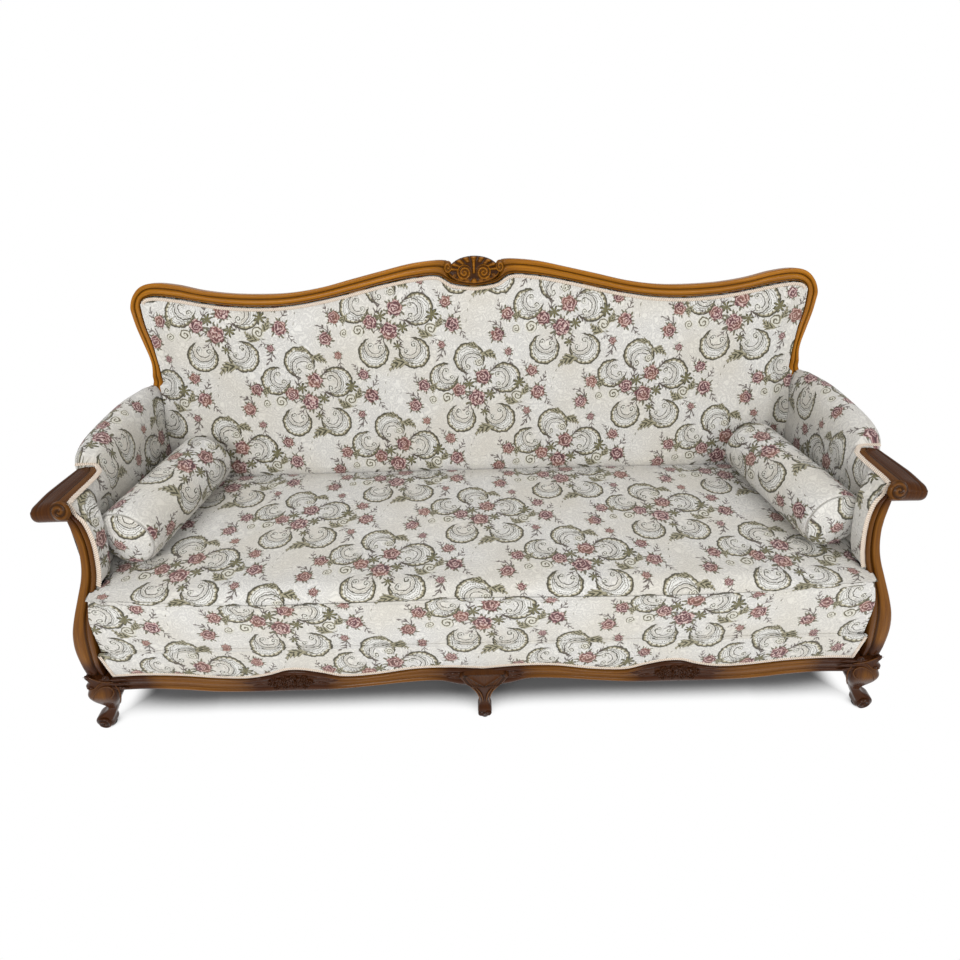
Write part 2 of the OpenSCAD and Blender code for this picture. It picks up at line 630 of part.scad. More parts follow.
// Outline of the space under the frame, halfway under its rails and round its legs
module frame_outline() {
    front = rail_t + fit_gap;
    side = leg_t + fit_gap;
    rear = post_front(frame_foot) - fit_gap;
    end = rear_rail_s + rear_rail_t*0.35;
    half = [[leg_in_x - fit_gap, front], [leg_in_x - fit_gap, side], [side_front_x - side_rail_t/2, side],
        [side_rear_x - side_rail_t/2, rear], [post_low_in - fit_gap, rear], [post_low_in - fit_gap, end]];
    polygon(concat(half, [for (q = flipped(half)) [-q[0], q[1]]]));
}
module seat_webbing() {
    color("#B9A27C")
    translate([0, y_front, web_z])
    linear_extrude(strap_t) intersection() {
        frame_outline();
        union() {
            for (c = [0:0.5:spring_cols - 1]) translate([(c - (spring_cols - 1)/2)*col_pitch - strap_w/2, 0])
                square([strap_w, depth]);
            for (r = [0:spring_rows - 1]) translate([-hw, spring_s(r) - strap_w/2]) square([width, strap_w]);
        }
    }
}
function spring_s(r) = rail_t + row_pitch*(r + 0.65);

spring_turns = 3;
spring_marks = 6;
spring_waist_share = 0.72;
hessian_t = 2;
spring_foot = web_z + strap_t + fit_gap;
spring_head = seat_under - 2*fit_gap - hessian_t;
// One hourglass spring: its wire falls from the head coil to the foot coil without a break
function spring_path(x, s) =
    let (n = spring_turns*spring_marks, lo = spring_foot + wire_d/2, hi = spring_head - wire_d/2)
    [for (i = [0:n]) let (v = i/n, a = v*360*spring_turns,
        r = (spring_d - wire_d)/2*lerp(spring_waist_share, 1, pow(abs(2*v - 1), 1.5)))
        pt(x + r*cos(a), s + r*sin(a), lerp(lo, hi, ease(v)*0.5 + v*0.5))];
module seat_springs() {
    color("#8C8C90")
    for (c = [0:spring_cols - 1], r = [0:spring_rows - 1])
        tube(spring_path((c - (spring_cols - 1)/2)*col_pitch, spring_s(r)), wire_d, 4);
}

wire_inset = 14;
module edge_wire() {
    x1 = stump_in(seat_under) - wire_inset;
    s0 = border_s + border_t + wire_inset;
    z = spring_head - wire_d*0.75;
    color("#8C8C90")
    translate([0, y_front + s0, z])
    rotate([0, 90, 0]) cylinder(d = wire_d*1.5, h = 2*x1 - 2*soft_gap, center = true);
}

module seat_hessian() {
    x1 = stump_in(seat_under) - 2*soft_gap;
    s0 = border_s + border_t + 2*fit_gap;
    s1 = back_s(-pad_in, seat_under) - border_t;
    color("#B08D57")
    translate([-x1, y_front + s0, spring_head + fit_gap]) cube([2*x1, s1 - s0, hessian_t]);
}

// Seat pad: a crowned top that rolls down to the welt in front
pad_cols = 28;
pad_marks = 13;
seat_rear_s = back_s(back_crown + fit_gap, seat_z*0.925);
arm_front_s = stump_back(seat_z);
seat_marks = concat([for (v = [0, 0.33, 0.66, 1]) arm_front_s + v*depth*arm_blend_share],
    [for (v = [0.25, 0.5, 0.75, 1]) lerp(arm_front_s + depth*arm_blend_share, seat_rear_s, v)]);
function seat_upper(p, k) =
    let (z0 = welt_z(p) + welt_d/2, s1 = border_s + seat_roll, x = p*arm_x,
        drop = 1.25*seat_crown*pow(abs(p), 24))
    k <= 4
        ? let (a = 90*k/4, zt = seat_top(x, s1) - drop)
            [border_s + seat_roll*(1 - cos(a)), lerp(z0, zt, sin(a))]
        : let (s = seat_marks[k - 5])
            [s, seat_top(x, s) - drop - (k == pad_marks - 1 ? seat_crown : 0)];
function seat_lower(p, k) =
    let (step = border_s + border_t + fit_gap, z0 = welt_z(p) + fit_gap)
    k <= 2 ? [lerp(border_s, step, k/2), z0]
        : k <= 4 ? [lerp(step, arm_front_s, (k - 3)*0.4), seat_under]
        : [seat_marks[k - 5], seat_under];
seat_slack = 12;
function seat_point(p, q) = pt(p*(arm_in(q[0] - seat_slack, q[1]) - soft_gap), q[0], q[1]);
module seat_pad() {
    marks = [for (c = [-pad_cols/2:pad_cols/2])
        let (v = c/(pad_cols/2)) sign(v)*(1 - pow(1 - abs(v), 1.35))];
    color("#D5D0C6")
    loft([for (p = marks) concat([for (k = [0:pad_marks - 1]) seat_point(p, seat_upper(p, k))],
        [for (k = [pad_marks - 1:-1:0]) seat_point(p, seat_lower(p, k))])], strips = true);
}

// Front border of the seat, stuffed, between its two welts
border_bulge = 4;
module seat_border() {
    cols = 24;
    marks = 6;
    color("#D5D0C6")
    loft([for (c = [0:cols]) let (p = 2*c/cols - 1)
        concat([for (k = [0:marks]) border_point(p, k/marks, border_s + border_bulge*(1 - sin(180*k/marks)))],
            [for (k = [marks:-1:0]) border_point(p, k/marks, border_s + border_t)])], strips = true);
}
function border_half(z) =
    stump_in(z) - lerp(gutter, soft_gap, ease((z - border_foot)/(seat_z - seat_roll - border_foot)));
function border_point(p, v, s) =
    let (z = lerp(border_foot, welt_z(p) - fit_gap, v)) pt(p*border_half(z), s, z);

function welt_path(z_of, s, half, cols) =
    [for (c = [0:cols]) let (p = 2*c/cols - 1) pt(p*half, s, z_of(p))];
module seat_welt_upper() {
    color("#CFC9BC")
    tube(welt_path(function(p) welt_z(p) + fit_gap, border_s - welt_d/2 - fit_gap,
        border_half(seat_z - seat_roll) - welt_d/2, 32), welt_d);
}
module seat_welt_lower() {
    color("#CFC9BC")
    tube(welt_path(function(p) border_foot - welt_d/2 - fit_gap, border_s - fit_gap,
        border_half(border_foot) - welt_d/2, 2), welt_d);
}

// Apron: the fixed panel under the seat, down to the rail
apron_top = border_foot - welt_d - 2*fit_gap;
module front_apron() {
    color("#D5D0C6")
    loft([for (x = rail_xs)
        concat([for (v = [0, 1]) apron_point(x, v, border_s)],
            [for (v = [1, 0]) apron_point(x, v, border_s + apron_t)])],
        strips = true);
}
function apron_point(x, v, s) =
    let (low = clamp(x, -apron_end, apron_end), high = x/rail_end*(stump_in(apron_top) - 2*soft_gap))
    pt(v < 1 ? low : high, s, v < 1 ? rail_top(low) + fit_gap : apron_top);

// Gimp along the rail and up the stumps
module gimp_front() {
    s = border_s - fit_gap;
    color("#DBC3AE")
    loft([for (rx = rail_xs) let (x = clamp(rx, -apron_end, apron_end), z = rail_top(x) + fit_gap)
        [pt(x, s, z), pt(x, s - gimp_t, z), pt(x, s - gimp_t, z + gimp_w), pt(x, s, z + gimp_w)]]);
}

// Back pad: a domed front within the show wood, and a flat rim for the gimp
rim = 14;
rim_t = 1;
back_cols = 30;
back_foot_up = -crest_s*0.10;
function back_half(v) =
    let (up = v*crest_s, open = post_in(up) - soft_gap, wide = arm_panel(back_z + up*cos(lean)) - 2*soft_gap)
    lerp(wide, open, ease((v - arm_lap_shares[0] + 0.020)/0.018));
function back_edge(p) = crest_under(min(abs(p)*hw*0.881, hw*0.880)) - 1.9*soft_gap;
function back_tall(p) = back_edge(p) - back_foot_up;
// Height of the pad's face at a distance in from its edge: a flat rim, then the dome
function dome_rise(d) = ease((d - rim)/(rim*4));
function back_dome(p, t) =
    let (half = back_half(lerp(back_foot_up, back_edge(p), t)/crest_s))
    rim_t + back_crown*dome_rise((1 - abs(p))*half)*dome_rise(t*back_tall(p) + rim)
        *dome_rise((1 - t)*back_tall(p));
function back_point(p, t, front) =
    let (up = lerp(back_foot_up, back_edge(p), t))
    bp(p*back_half(up/crest_s), front ? back_dome(p, t) : -pad_in, up);
function back_ts(p) =
    concat([0, 0.05, 0.13, 0.27, 0.40], [for (v = [-0.028, -0.010, 0.008, 0.05])
        (crest_s*(arm_lap_shares[0] + v) - back_foot_up)/back_tall(p)],
        [for (d = [crest_s*0.21, crest_s*0.1, rim*2.4, rim, 0]) 1 - d/back_tall(p)]);
module back_pad() {
    n = back_cols/2;
    side_marks = concat([for (c = [0:n - 3]) 0.955*(1 - pow(1 - c/(n - 2), 1.25))],
        [0.962, 1 - rim/(hw*0.88), 1]);
    ps = concat([for (k = [n:-1:1]) -side_marks[k]], side_marks);
    color("#D5D3D0")
    loft([for (p = ps) let (ts = back_ts(p)) concat([for (t = ts) back_point(p, t, true)],
        [for (t = flipped(ts)) back_point(p, t, false)])], strips = true);
}

module back_webbing() {
    foot = back_rail_up + back_rail_h*0.3;
    straps = 7;
    color("#B9A27C")
    back_frame()
    translate([0, wood_in - fit_gap, 0])
    rotate([90, 0, 0])
    linear_extrude(strap_t) union() {
        for (c = [0:straps - 1]) {
            x = (c - (straps - 1)/2)*hw*0.235;
            top = min(crest_under(x - strap_w/2), crest_under(x + strap_w/2)) - 2*soft_gap;
            translate([x - strap_w/2, foot]) square([strap_w, top - foot]);
        }
        for (v = [0.2, 0.47, 0.68]) translate([-post_in(0) + 2*soft_gap, v*crest_s])
            square([2*post_in(0) - 4*soft_gap, strap_w]);
    }
}

module back_cover() {
    inset = crest_t/2;
    edge = [for (u = [crest_last:-0.5:0]) let (o = crest_out(u))
        [o[0] - inset*ease((o[0] - hw*0.5)/(hw*0.3)), o[1] - inset]];
    side = [for (v = [0.1, 0.3, 0.45, 0.52, 0.6, 0.68])
        [hw*curve(post_high_shares, v, 2) - inset/2, v*crest_s]];
    depth_behind = crest_t + fit_gap + cover_t;
    foot = (side_rail_top + 2*fit_gap - back_z + depth_behind*sin(lean))/cos(lean);
    low = post_in(0) - soft_gap;
    half = concat([[low, foot], [low, fit_gap]], side, edge);
    color("#CFCDC8")
    back_frame()
    translate([0, crest_t + fit_gap + cover_t, 0])
    rotate([90, 0, 0])
    linear_extrude(cover_t) polygon(concat(half, [for (q = flipped(half)) [-q[0], q[1]]]));
}

// Gimp round the back pad's rim
module gimp_back() {
    marks = [for (i = [0:2*crest_last]) i/2];
    inset = 1.8*soft_gap;
    seat = rim_t + 3*fit_gap;
    function at(u, d) = let (q = crest_in(abs(u)), n = crest_normal(abs(u)))
        [sign(u)*(q[0] - n[0]*d), q[1] - n[1]*d];
    color("#DBC3AE")
    loft([for (k = [-len(marks) + 3:len(marks) - 3]) let (u = sign(k)*marks[abs(k)],
        a = at(u, inset), b = at(u, inset + gimp_w))
        [bp(a[0], seat, a[1]), bp(b[0], seat, b[1]), bp(b[0], seat + gimp_t, b[1]),
            bp(a[0], seat + gimp_t, a[1])]]);
}
// Unit direction out of the pad, across the crest's inner edge
function crest_normal(u) =
    let (a = crest_in(max(u - 0.3, 0)), b = crest_in(min(u + 0.3, crest_last)), d = (b - a)/norm(b - a))
    [-d[1], d[0]];

// Arm pads: the stuffed inner face, and behind the hand rest a roll over the arm rail
// The cloth also laps forward over the stump's inner side, as far as the gimp. The roll bows out.
arm_roll_angles = [3, 28, 56, 80];
arm_bow = hw*0.030;
arm_bow_shares = [[0.20, 0], [0.26, 0.45], [0.33, 0.8], [0.42, 1], [0.60, 1], [0.76, 0.8], [0.84, 0.5],
    [0.92, 0.1], [1, -0.2]];
arm_rise_share = 0.28;
arm_flange_t = hw*0.010;
arm_flange_foot = seat_z - seat_crown;
arm_rebate = stump_t*0.16;
function arm_rear(z) = z > back_z ? back_s(-pad_in, z) - fit_gap : post_face_s(z) - 2*soft_gap;
function arm_s(t, z) = lerp(stump_back(min(z, stump_top)) + soft_gap, arm_rear(z), t);
arm_step = (hand_rear_s + 2*soft_gap - arm_s(0, stump_top))/(arm_rear(stump_top) - arm_s(0, stump_top));
arm_marks = concat([0, 0.03, 0.07, 0.12, 0.17, arm_step - 0.003, arm_step],
    [for (v = [0.06, 0.13, 0.24, 0.37, 0.5, 0.63, 0.75, 0.87, 1]) lerp(arm_step, 1, v)]);
function arm_face(s, z) = arm_in(s, z) - arm_flange_t*ease((z - arm_flange_foot)/seat_crown)
    *(1 - ease((s - stump_back(min(z, stump_top)))/(depth*arm_blend_share)));
function arm_level(k) = lerp(arm_panel_foot, stump_top - fit_gap, k/7);
function arm_side(t, out) =
    let (slab = arm_rail_out - arm_rail_t - fit_gap, lip = arm_rail_out + cover_t + 4*fit_gap,
        bow = curve(arm_bow_shares, t),
        edge = hand_in - 2*fit_gap, x0 = arm_face(arm_s(t, stump_top), stump_top),
        behind = t > arm_step - 0.001, far = behind ? lip + arm_bow*bow : edge,
        mid = lerp(x0, far, behind ? 0.45 : 0.8),
        tall = behind ? arm_z + arm_top_h - stump_top + arm_bow*arm_rise_share*bow : hand_t - 2*soft_gap)
    concat([for (k = [0:7]) let (z = arm_level(k))
            [out ? min(k == 7 && !behind ? edge : slab, cover_x(t, z) - cover_t - fit_gap)
                : arm_face(arm_s(t, z), z), z]],
        [for (a = arm_roll_angles)
            [lerp(mid, out ? far : x0, cos(a)), stump_top + tall*sin(a)]]);
function arm_ring(t) =
    [for (q = concat(arm_side(t, false), flipped(arm_side(t, true)))) pt(q[0], arm_s(t, q[1]), q[1])];
function arm_flange_side(out) =
    let (edge = hand_in - 2*fit_gap, x0 = stump_in(stump_top) - arm_flange_t, mid = lerp(x0, edge, 0.8))
    concat([for (k = [0:7]) let (z = lerp(arm_flange_foot, stump_top + fit_gap, k/7))
            [stump_in(z) - (out ? 3*fit_gap : arm_flange_t), z]],
        [for (a = arm_roll_angles)
            [lerp(mid, out ? edge : x0, cos(a)), stump_top + fit_gap + (hand_t - 2*soft_gap)*sin(a)]]);
function arm_flange_ring(v) =
    [for (q = concat(arm_flange_side(false), flipped(arm_flange_side(true))))
        let (z = min(q[1], stump_top))
        pt(q[0], lerp(stump_s(z) + arm_rebate, stump_back(z) + soft_gap*0.8, v), q[1])];
module arm_pad() {
    color("#D5D0C6")
    loft(concat([for (v = [0, 1]) arm_flange_ring(v)], [for (t = arm_marks) arm_ring(t)]), strips = true);
}
module arm_pad_right() { arm_pad(); }
module arm_pad_left() { mirror([1, 0, 0]) arm_pad(); }

// Outside arm covers, from the stump round to the post
function cover_x(t, z) =
    let (rail_x = lerp(side_front_x, side_rear_x, t), lip = arm_rail_out + cover_t + 3*fit_gap,
        far = lerp(rail_x, lip, ease((z - side_rail_top)/(stump_top - arm_rail_h - side_rail_top))))
    lerp(stump_out(z), far, ease(t/0.14));
module arm_cover() {
    zs = concat([side_rail_top + fit_gap, (side_rail_top + arm_panel_foot)/2], [for (k = [0:7]) arm_level(k)]);
    color("#CFCDC8")
    loft([for (t = arm_marks) concat([for (z = zs) pt(cover_x(t, z), arm_s(t, z), z)],
        [for (z = flipped(zs)) pt(cover_x(t, z) - cover_t, arm_s(t, z), z)])], strips = true);
}
module arm_cover_right() { arm_cover(); }
module arm_cover_left() { mirror([1, 0, 0]) arm_cover(); }

// Gimp on the cloth's front edge, down the stump's inner side
module gimp_arm() {
    steps = 14;
    color("#DBC3AE")
    loft([for (i = [0:steps]) let (z = lerp(arm_flange_foot + soft_gap, stump_top, i/steps))
        [for (q = [[0, 0], [0, 1], [1, 1], [1, 0]])
            pt(stump_in(z) - fit_gap - gimp_w*q[0],
                stump_s(z) + arm_rebate - fit_gap - gimp_t*q[1], z)]]);
}
module gimp_arm_right() { gimp_arm(); }
module gimp_arm_left() { mirror([1, 0, 0]) gimp_arm(); }

// Dust cover tacked under the frame
dust_t = 1;
module dust_cover() {
    color("#2E2C2A")
    translate([0, y_front, web_z - fit_gap - dust_t]) linear_extrude(dust_t) frame_outline();
}

// Loose bolsters, lying along the arms on the seat
bolster_s = depth*0.436;
bolster_yaw = 9.8;
bolster_reach = arm_x - 4*soft_gap;
bolster_x = bolster_reach - bolster_d/2/cos(bolster_yaw) - (bolster_s - depth*0.20)*tan(bolster_yaw);
module bolster() {
    r = bolster_d/2;
    half = bolster_l/2;
    soft = r*0.42;
    end = [for (k = [0:5]) let (a = 90*k/5) [r*0.955 - soft + soft*cos(a), half - r*0.14 - soft + soft*sin(a)]];
    top = [[r, 0], [r*0.995, half*0.35], [r*0.975, half*0.62]];
    upper = concat(top, end, [[r*0.3, half - r*0.03], [0, half]]);
    lower = [for (k = [len(upper) - 1:-1:1]) [upper[k][0], -upper[k][1]]];
    color("#D5D3D0")
    translate([bolster_x, y_front + bolster_s,
        seat_top(bolster_x - r*0.2, bolster_s) + r/cos(seat_tilt) - fit_gap])
    rotate([-seat_tilt, 0, bolster_yaw])
    rotate([-90, 0, 0])
    rotate_extrude() polygon(concat(lower, upper));
}
module bolster_right() { bolster(); }
module bolster_left() { mirror([1, 0, 0]) bolster(); }

front_rail();
rear_rail();
side_rail_left();
side_rail_right();
front_leg_left();
front_leg_right();
front_centre_leg();
rear_centre_leg();
rear_post_left();
rear_post_right();
crest_rail();
crest_cartouche();
rail_cartouche_left();
rail_cartouche_right();
rail_cartouche_centre();
arm_stump_left();
arm_stump_right();
hand_rest_left();
hand_rest_right();
arm_rail_left();
arm_rail_right();
back_lower_rail();
back_uprights();
seat_stretchers();
corner_blocks();
dowels();
glides();
seat_webbing();
back_webbing();
seat_springs();
edge_wire();
seat_hessian();
seat_pad();
seat_border();
seat_welt_upper();
seat_welt_lower();
front_apron();
back_pad();
back_cover();
arm_pad_left();
arm_pad_right();
arm_cover_left();
arm_cover_right();
gimp_front();
gimp_back();
gimp_arm_left();
gimp_arm_right();
dust_cover();
bolster_left();
bolster_right();
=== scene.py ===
"""Cabriole sofa: carved show wood, rose jacquard upholstery and two loose bolsters, dressed over
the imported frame. Metres, +Z up, the front faces -Y."""

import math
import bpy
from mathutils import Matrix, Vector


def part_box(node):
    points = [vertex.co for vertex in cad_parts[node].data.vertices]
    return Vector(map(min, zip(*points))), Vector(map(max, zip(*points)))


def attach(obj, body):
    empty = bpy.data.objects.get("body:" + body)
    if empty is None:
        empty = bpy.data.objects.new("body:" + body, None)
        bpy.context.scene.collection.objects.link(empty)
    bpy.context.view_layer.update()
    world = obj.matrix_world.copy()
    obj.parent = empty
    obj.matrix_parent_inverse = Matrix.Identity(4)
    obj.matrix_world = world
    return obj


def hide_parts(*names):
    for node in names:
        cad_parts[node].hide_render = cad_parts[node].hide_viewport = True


bl_info = {
    "name": "Cabriole Sofa",
    "version": (1, 0, 0),
    "blender": (4, 5, 0),
    "location": "3D View > Sidebar > Sofa",
    "description": "Builds the carved wood, the jacquard upholstery and the stage of a cabriole sofa",
    "category": "Object",
}

from functools import partial

import bpy
import numpy as np
from mathutils import Matrix, Vector

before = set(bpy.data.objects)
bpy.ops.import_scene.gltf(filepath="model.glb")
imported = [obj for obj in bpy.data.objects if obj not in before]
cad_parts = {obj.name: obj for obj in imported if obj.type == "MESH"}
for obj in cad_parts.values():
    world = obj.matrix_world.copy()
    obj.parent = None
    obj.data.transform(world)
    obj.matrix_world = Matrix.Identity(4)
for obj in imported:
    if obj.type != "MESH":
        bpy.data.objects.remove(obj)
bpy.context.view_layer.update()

# Driving sizes, in metres, as the frame has them
HALF = 1.020
DEPTH = 0.746
HEIGHT = 1.001
LEAN = math.radians(13.46)
RAIL_Z = 0.192
SEAT_Z = 0.467
ARM_Z = 0.665
SEAT_TILT = math.radians(3.5)
RAIL_T = 0.030
CREST_T = 0.036
STUMP_T = 0.050
POST_T = 0.042
HAND_T = 0.028
KNUCKLE_R = 0.0252
ARM_RAIL_T = 0.031
WELT_R = 0.004
GIMP_W = 0.009
GIMP_T = 0.002
BORDER_H = 0.152
BORDER_T = 0.030
APRON_T = 0.008
BACK_CROWN = 0.017
COVER_T = 0.003
BOLSTER_R = 0.074
BOLSTER_L = 0.378
FIT = 0.0003
SOFT = 0.0015
SUNK = 0.0015
TOE_OUT = 0.018
GUTTER = 0.012

Y_FRONT = -DEPTH / 2 + TOE_OUT
BACK_Z = SEAT_Z * 0.955
BACK_L = (HEIGHT - BACK_Z) / math.cos(LEAN)
BACK_Y = DEPTH / 2 - CREST_T * math.cos(LEAN) - 0.984 * BACK_L * math.sin(LEAN)
STUMP_TOP = ARM_Z - HAND_T
HAND_IN = HALF * 0.8885
PAD_IN = 0.008
RIM = 0.014
RIM_T = 0.001
SEAT_ROLL = 0.040
SEAT_CROWN = 0.008
BORDER_S = 0.008
BORDER_FOOT = SEAT_Z - SEAT_ROLL + SEAT_CROWN - BORDER_H
APRON_TOP = BORDER_FOOT - 2 * WELT_R - 2 * FIT
FLANGE_T = HALF * 0.010
FLANGE_FOOT = SEAT_Z - SEAT_CROWN
REBATE = STUMP_T * 0.16
HAND_S = DEPTH * 0.108
HAND_L = DEPTH * 0.220
RAIL_HALF = HALF * 0.907
SEAT_HALF = HALF * 0.887
SIDE_RAIL_H = 0.058
SIDE_TOP = RAIL_Z * 0.79 + SIDE_RAIL_H
BACK_GIMP_PLACE = 1.8 * SOFT + GIMP_W / 2
ARM_GIMP_W = 0.012
# Where the cloth's repeat starts on the border, the apron and the seat
BORDER_START = 0.354
APRON_START = 0.162
SEAT_START = 0.034
TAU = math.tau

# Tables of shares, as the frame's own curves: where, then the values
RAIL_TOP = [(0, 0.980), (0.083, 1.020), (0.170, 1.010), (0.265, 0.922), (0.345, 0.896),
            (0.392, 0.974), (0.441, 1.042), (0.480, 1.042), (0.521, 0.964), (0.574, 0.906),
            (0.644, 0.922), (0.738, 0.990), (0.832, 1.018), (0.907, 1.000)]
RAIL_FOOT = [(0, 0.688), (0.055, 0.692), (0.108, 0.786), (0.186, 0.776), (0.275, 0.719),
             (0.385, 0.656), (0.485, 0.651), (0.578, 0.656), (0.667, 0.677), (0.751, 0.740),
             (0.828, 0.771), (0.907, 0.760)]
STUMP = [(0, 0.966, 0.9225, 0.012), (0.085, 0.967, 0.9215, 0.013), (0.216, 0.962, 0.910, 0.015),
         (0.33, 0.950, 0.901, 0.020), (0.43, 0.934, 0.892, 0.032), (0.54, 0.914, 0.8755, 0.050),
         (0.65, 0.894, 0.860, 0.067), (0.737, 0.884, 0.8535, 0.080), (0.838, 0.880, 0.851, 0.095),
         (0.917, 0.884, 0.855, 0.107), (0.96, 0.8865, 0.861, 0.113), (1, 0.887, 0.873, 0.118)]
CREST = [(0, 0.977, 0, 0.865), (0.059, 0.980, 0.057, 0.880), (0.098, 0.984, 0.096, 0.917),
         (0.167, 0.971, 0.162, 0.910), (0.244, 0.941, 0.238, 0.886), (0.324, 0.908, 0.316, 0.854),
         (0.405, 0.874, 0.397, 0.823), (0.484, 0.854, 0.480, 0.800), (0.557, 0.850, 0.564, 0.793),
         (0.642, 0.856, 0.652, 0.802), (0.719, 0.874, 0.727, 0.822), (0.784, 0.901, 0.779, 0.840),
         (0.839, 0.912, 0.826, 0.852), (0.875, 0.899, 0.851, 0.854), (0.900, 0.858, 0.873, 0.843),
         (0.913, 0.805, 0.884, 0.811), (0.912, 0.760, 0.884, 0.760)]
CREST_ROWS = [(i, *row) for i, row in enumerate(CREST)]
CREST_LAST = len(CREST) - 1
CREST_UNDER = [(row[2], row[3]) for row in CREST if row[2] < 0.884 or row[3] > 0.8]
POST_HIGH = [(0, 0.8667, 0.928), (0.277, 0.8667, 0.927), (0.368, 0.8667, 0.918),
             (0.416, 0.8667, 0.906), (0.44, 0.8667, 0.899), (0.52, 0.868, 0.889),
             (0.566, 0.870, 0.890), (0.638, 0.8735, 0.899), (0.71, 0.881, 0.908),
             (0.76, 0.884, 0.912)]
POST_LOW = [(0, 0.887, 0.930, 0.040), (0.22, 0.882, 0.926, -0.002), (0.45, 0.877, 0.929, -0.026),
            (0.67, 0.8725, 0.929, -0.026), (0.85, 0.868, 0.928, -0.010), (1, 0.8667, 0.928, 0.0107)]
LEG = [(0.021, 0.962, 0.990, 0.000, 0.034), (0.06, 0.958, 0.998, -0.007, 0.042),
       (0.15, 0.955, 0.999, -0.009, 0.043), (0.21, 0.949, 0.990, -0.004, 0.042),
       (0.28, 0.942, 0.970, 0.004, 0.041), (0.35, 0.935, 0.960, 0.008, 0.042),
       (0.43, 0.929, 0.963, 0.004, 0.047), (0.52, 0.919, 0.971, -0.004, 0.058),
       (0.60, 0.911, 0.979, -0.009, 0.068), (0.70, 0.907, 0.982, -0.011, 0.074),
       (0.80, 0.907, 0.975, -0.007, 0.075), (0.86, 0.907, 0.977, -0.004, 0.075),
       (0.93, 0.907, 0.966, 0.000, 0.075), (1, 0.907, 0.972, 0.002, 0.075)]
CENTRE_LEG = [(0.021, 0.011, -0.002, 0.034), (0.10, 0.017, -0.010, 0.036), (0.20, 0.018, -0.010, 0.038),
              (0.27, 0.014, 0.000, 0.040), (0.36, 0.013, 0.002, 0.042), (0.48, 0.021, 0.002, 0.042),
              (0.59, 0.033, 0.001, 0.041), (0.66, 0.047, 0.001, 0.040)]
WELT_RISE = [(0, 0.930), (0.4, 0.914), (0.7, 0.920), (0.87, 0.955), (1, 0.968)]
ARM_BOW = [(0.20, 0), (0.26, 0.45), (0.33, 0.8), (0.42, 1), (0.60, 1), (0.76, 0.8), (0.84, 0.5), (0.92, 0.1),
           (1, -0.2)]
HAND_PLAN = [(0.078, 0.9740, 0.8930), (0.095, 0.9755, 0.8940), (0.117, 0.9725, 0.8950),
             (0.150, 0.9660, 0.8915), (0.192, 0.9570, 0.8870), (0.222, 0.9500, 0.8880),
             (0.236, 0.9465, 0.8960), (0.246, 0.9400, 0.9150)]
ARM_LAP = [share + (ARM_Z * 1.038 - BACK_Z) / (HEIGHT - BACK_Z) for share in (0.006, 0.040)]


# Shape functions, on arrays


def lerp(a, b, t):
    return a + (b - a) * t


def ease(v):
    t = np.clip(v, 0, 1)
    return t * t * (3 - 2 * t)


def bump(v, centre, width):
    return np.exp(-(((v - centre) / width) ** 2))


def curve(table, x, column=1):
    """Smooth curve through a table's rows: the first column is where."""
    rows = np.asarray(table, float)
    xs, ys = rows[:, 0], rows[:, column]
    x = np.asarray(x, float)
    i = np.clip(np.searchsorted(xs, x, side="right") - 1, 0, len(xs) - 2)
    index = np.arange(len(xs))
    before, after = np.maximum(index - 1, 0), np.minimum(index + 1, len(xs) - 1)
    slope = (ys[after] - ys[before]) / (xs[after] - xs[before])
    h = xs[i + 1] - xs[i]
    u = np.clip((x - xs[i]) / h, 0, 1)
    return (ys[i] * (2 * u**3 - 3 * u**2 + 1) + slope[i] * h * (u**3 - 2 * u**2 + u)
            + ys[i + 1] * (3 * u**2 - 2 * u**3) + slope[i + 1] * h * (u**3 - u**2))


def stack(x, y, z):
    return np.stack(np.broadcast_arrays(x, y, z), axis=-1).astype(float)


def at(x, s, z):
    """A point at s behind the front rail's face."""
    return stack(x, Y_FRONT + s, z)


def on_back(x, off, up):
    """A point on the leaning back: off in front of its face, up along it."""
    return stack(x, BACK_Y - off * math.cos(LEAN) + up * math.sin(LEAN),
                 BACK_Z + off * math.sin(LEAN) + up * math.cos(LEAN))


def back_s(off, z):
    return BACK_Y - Y_FRONT + (z - BACK_Z) * math.tan(LEAN) - off / math.cos(LEAN)


def rail_top(x):
    return RAIL_Z * curve(RAIL_TOP, np.abs(x) / HALF)


def rail_foot(x):
    return RAIL_Z * curve(RAIL_FOOT, np.abs(x) / HALF)


def stump(z, column):
    share = np.clip((z - RAIL_Z) / (STUMP_TOP - RAIL_Z), 0, 1)
    return (DEPTH if column == 3 else HALF) * curve(STUMP, share, column)


def stump_back(z):
    return stump(z, 3) + STUMP_T


def arm_panel(z):
    return HALF * lerp(0.887, 0.880, ease((z - ARM_Z * 0.85) / (ARM_Z * 0.10)))


def arm_in(s, z):
    return lerp(stump(z, 2), arm_panel(z), ease((s - stump_back(z)) / (DEPTH * 0.06)))


def arm_face(s, z):
    """The arm's inner cloth, which laps forward over the stump's inner side."""
    lap = ease((z - FLANGE_FOOT) / SEAT_CROWN) * (1 - ease((s - stump_back(z)) / (DEPTH * 0.06)))
    return arm_in(s, z) - FLANGE_T * lap


def crest_edge(u, inner):
    column = 3 if inner else 1
    return HALF * curve(CREST_ROWS, np.abs(u), column), BACK_L * curve(CREST_ROWS, np.abs(u), column + 1)


def crest_under(x):
    return BACK_L * curve(CREST_UNDER, np.abs(x) / HALF)


def post_in(up):
    return HALF * curve(POST_HIGH, np.clip(up / BACK_L, 0, 1))


def seat_top(x, s):
    return SEAT_Z - s * math.tan(SEAT_TILT) - SEAT_CROWN * (x / HALF) ** 2


def welt_z(p):
    return SEAT_Z * curve(WELT_RISE, np.abs(p))


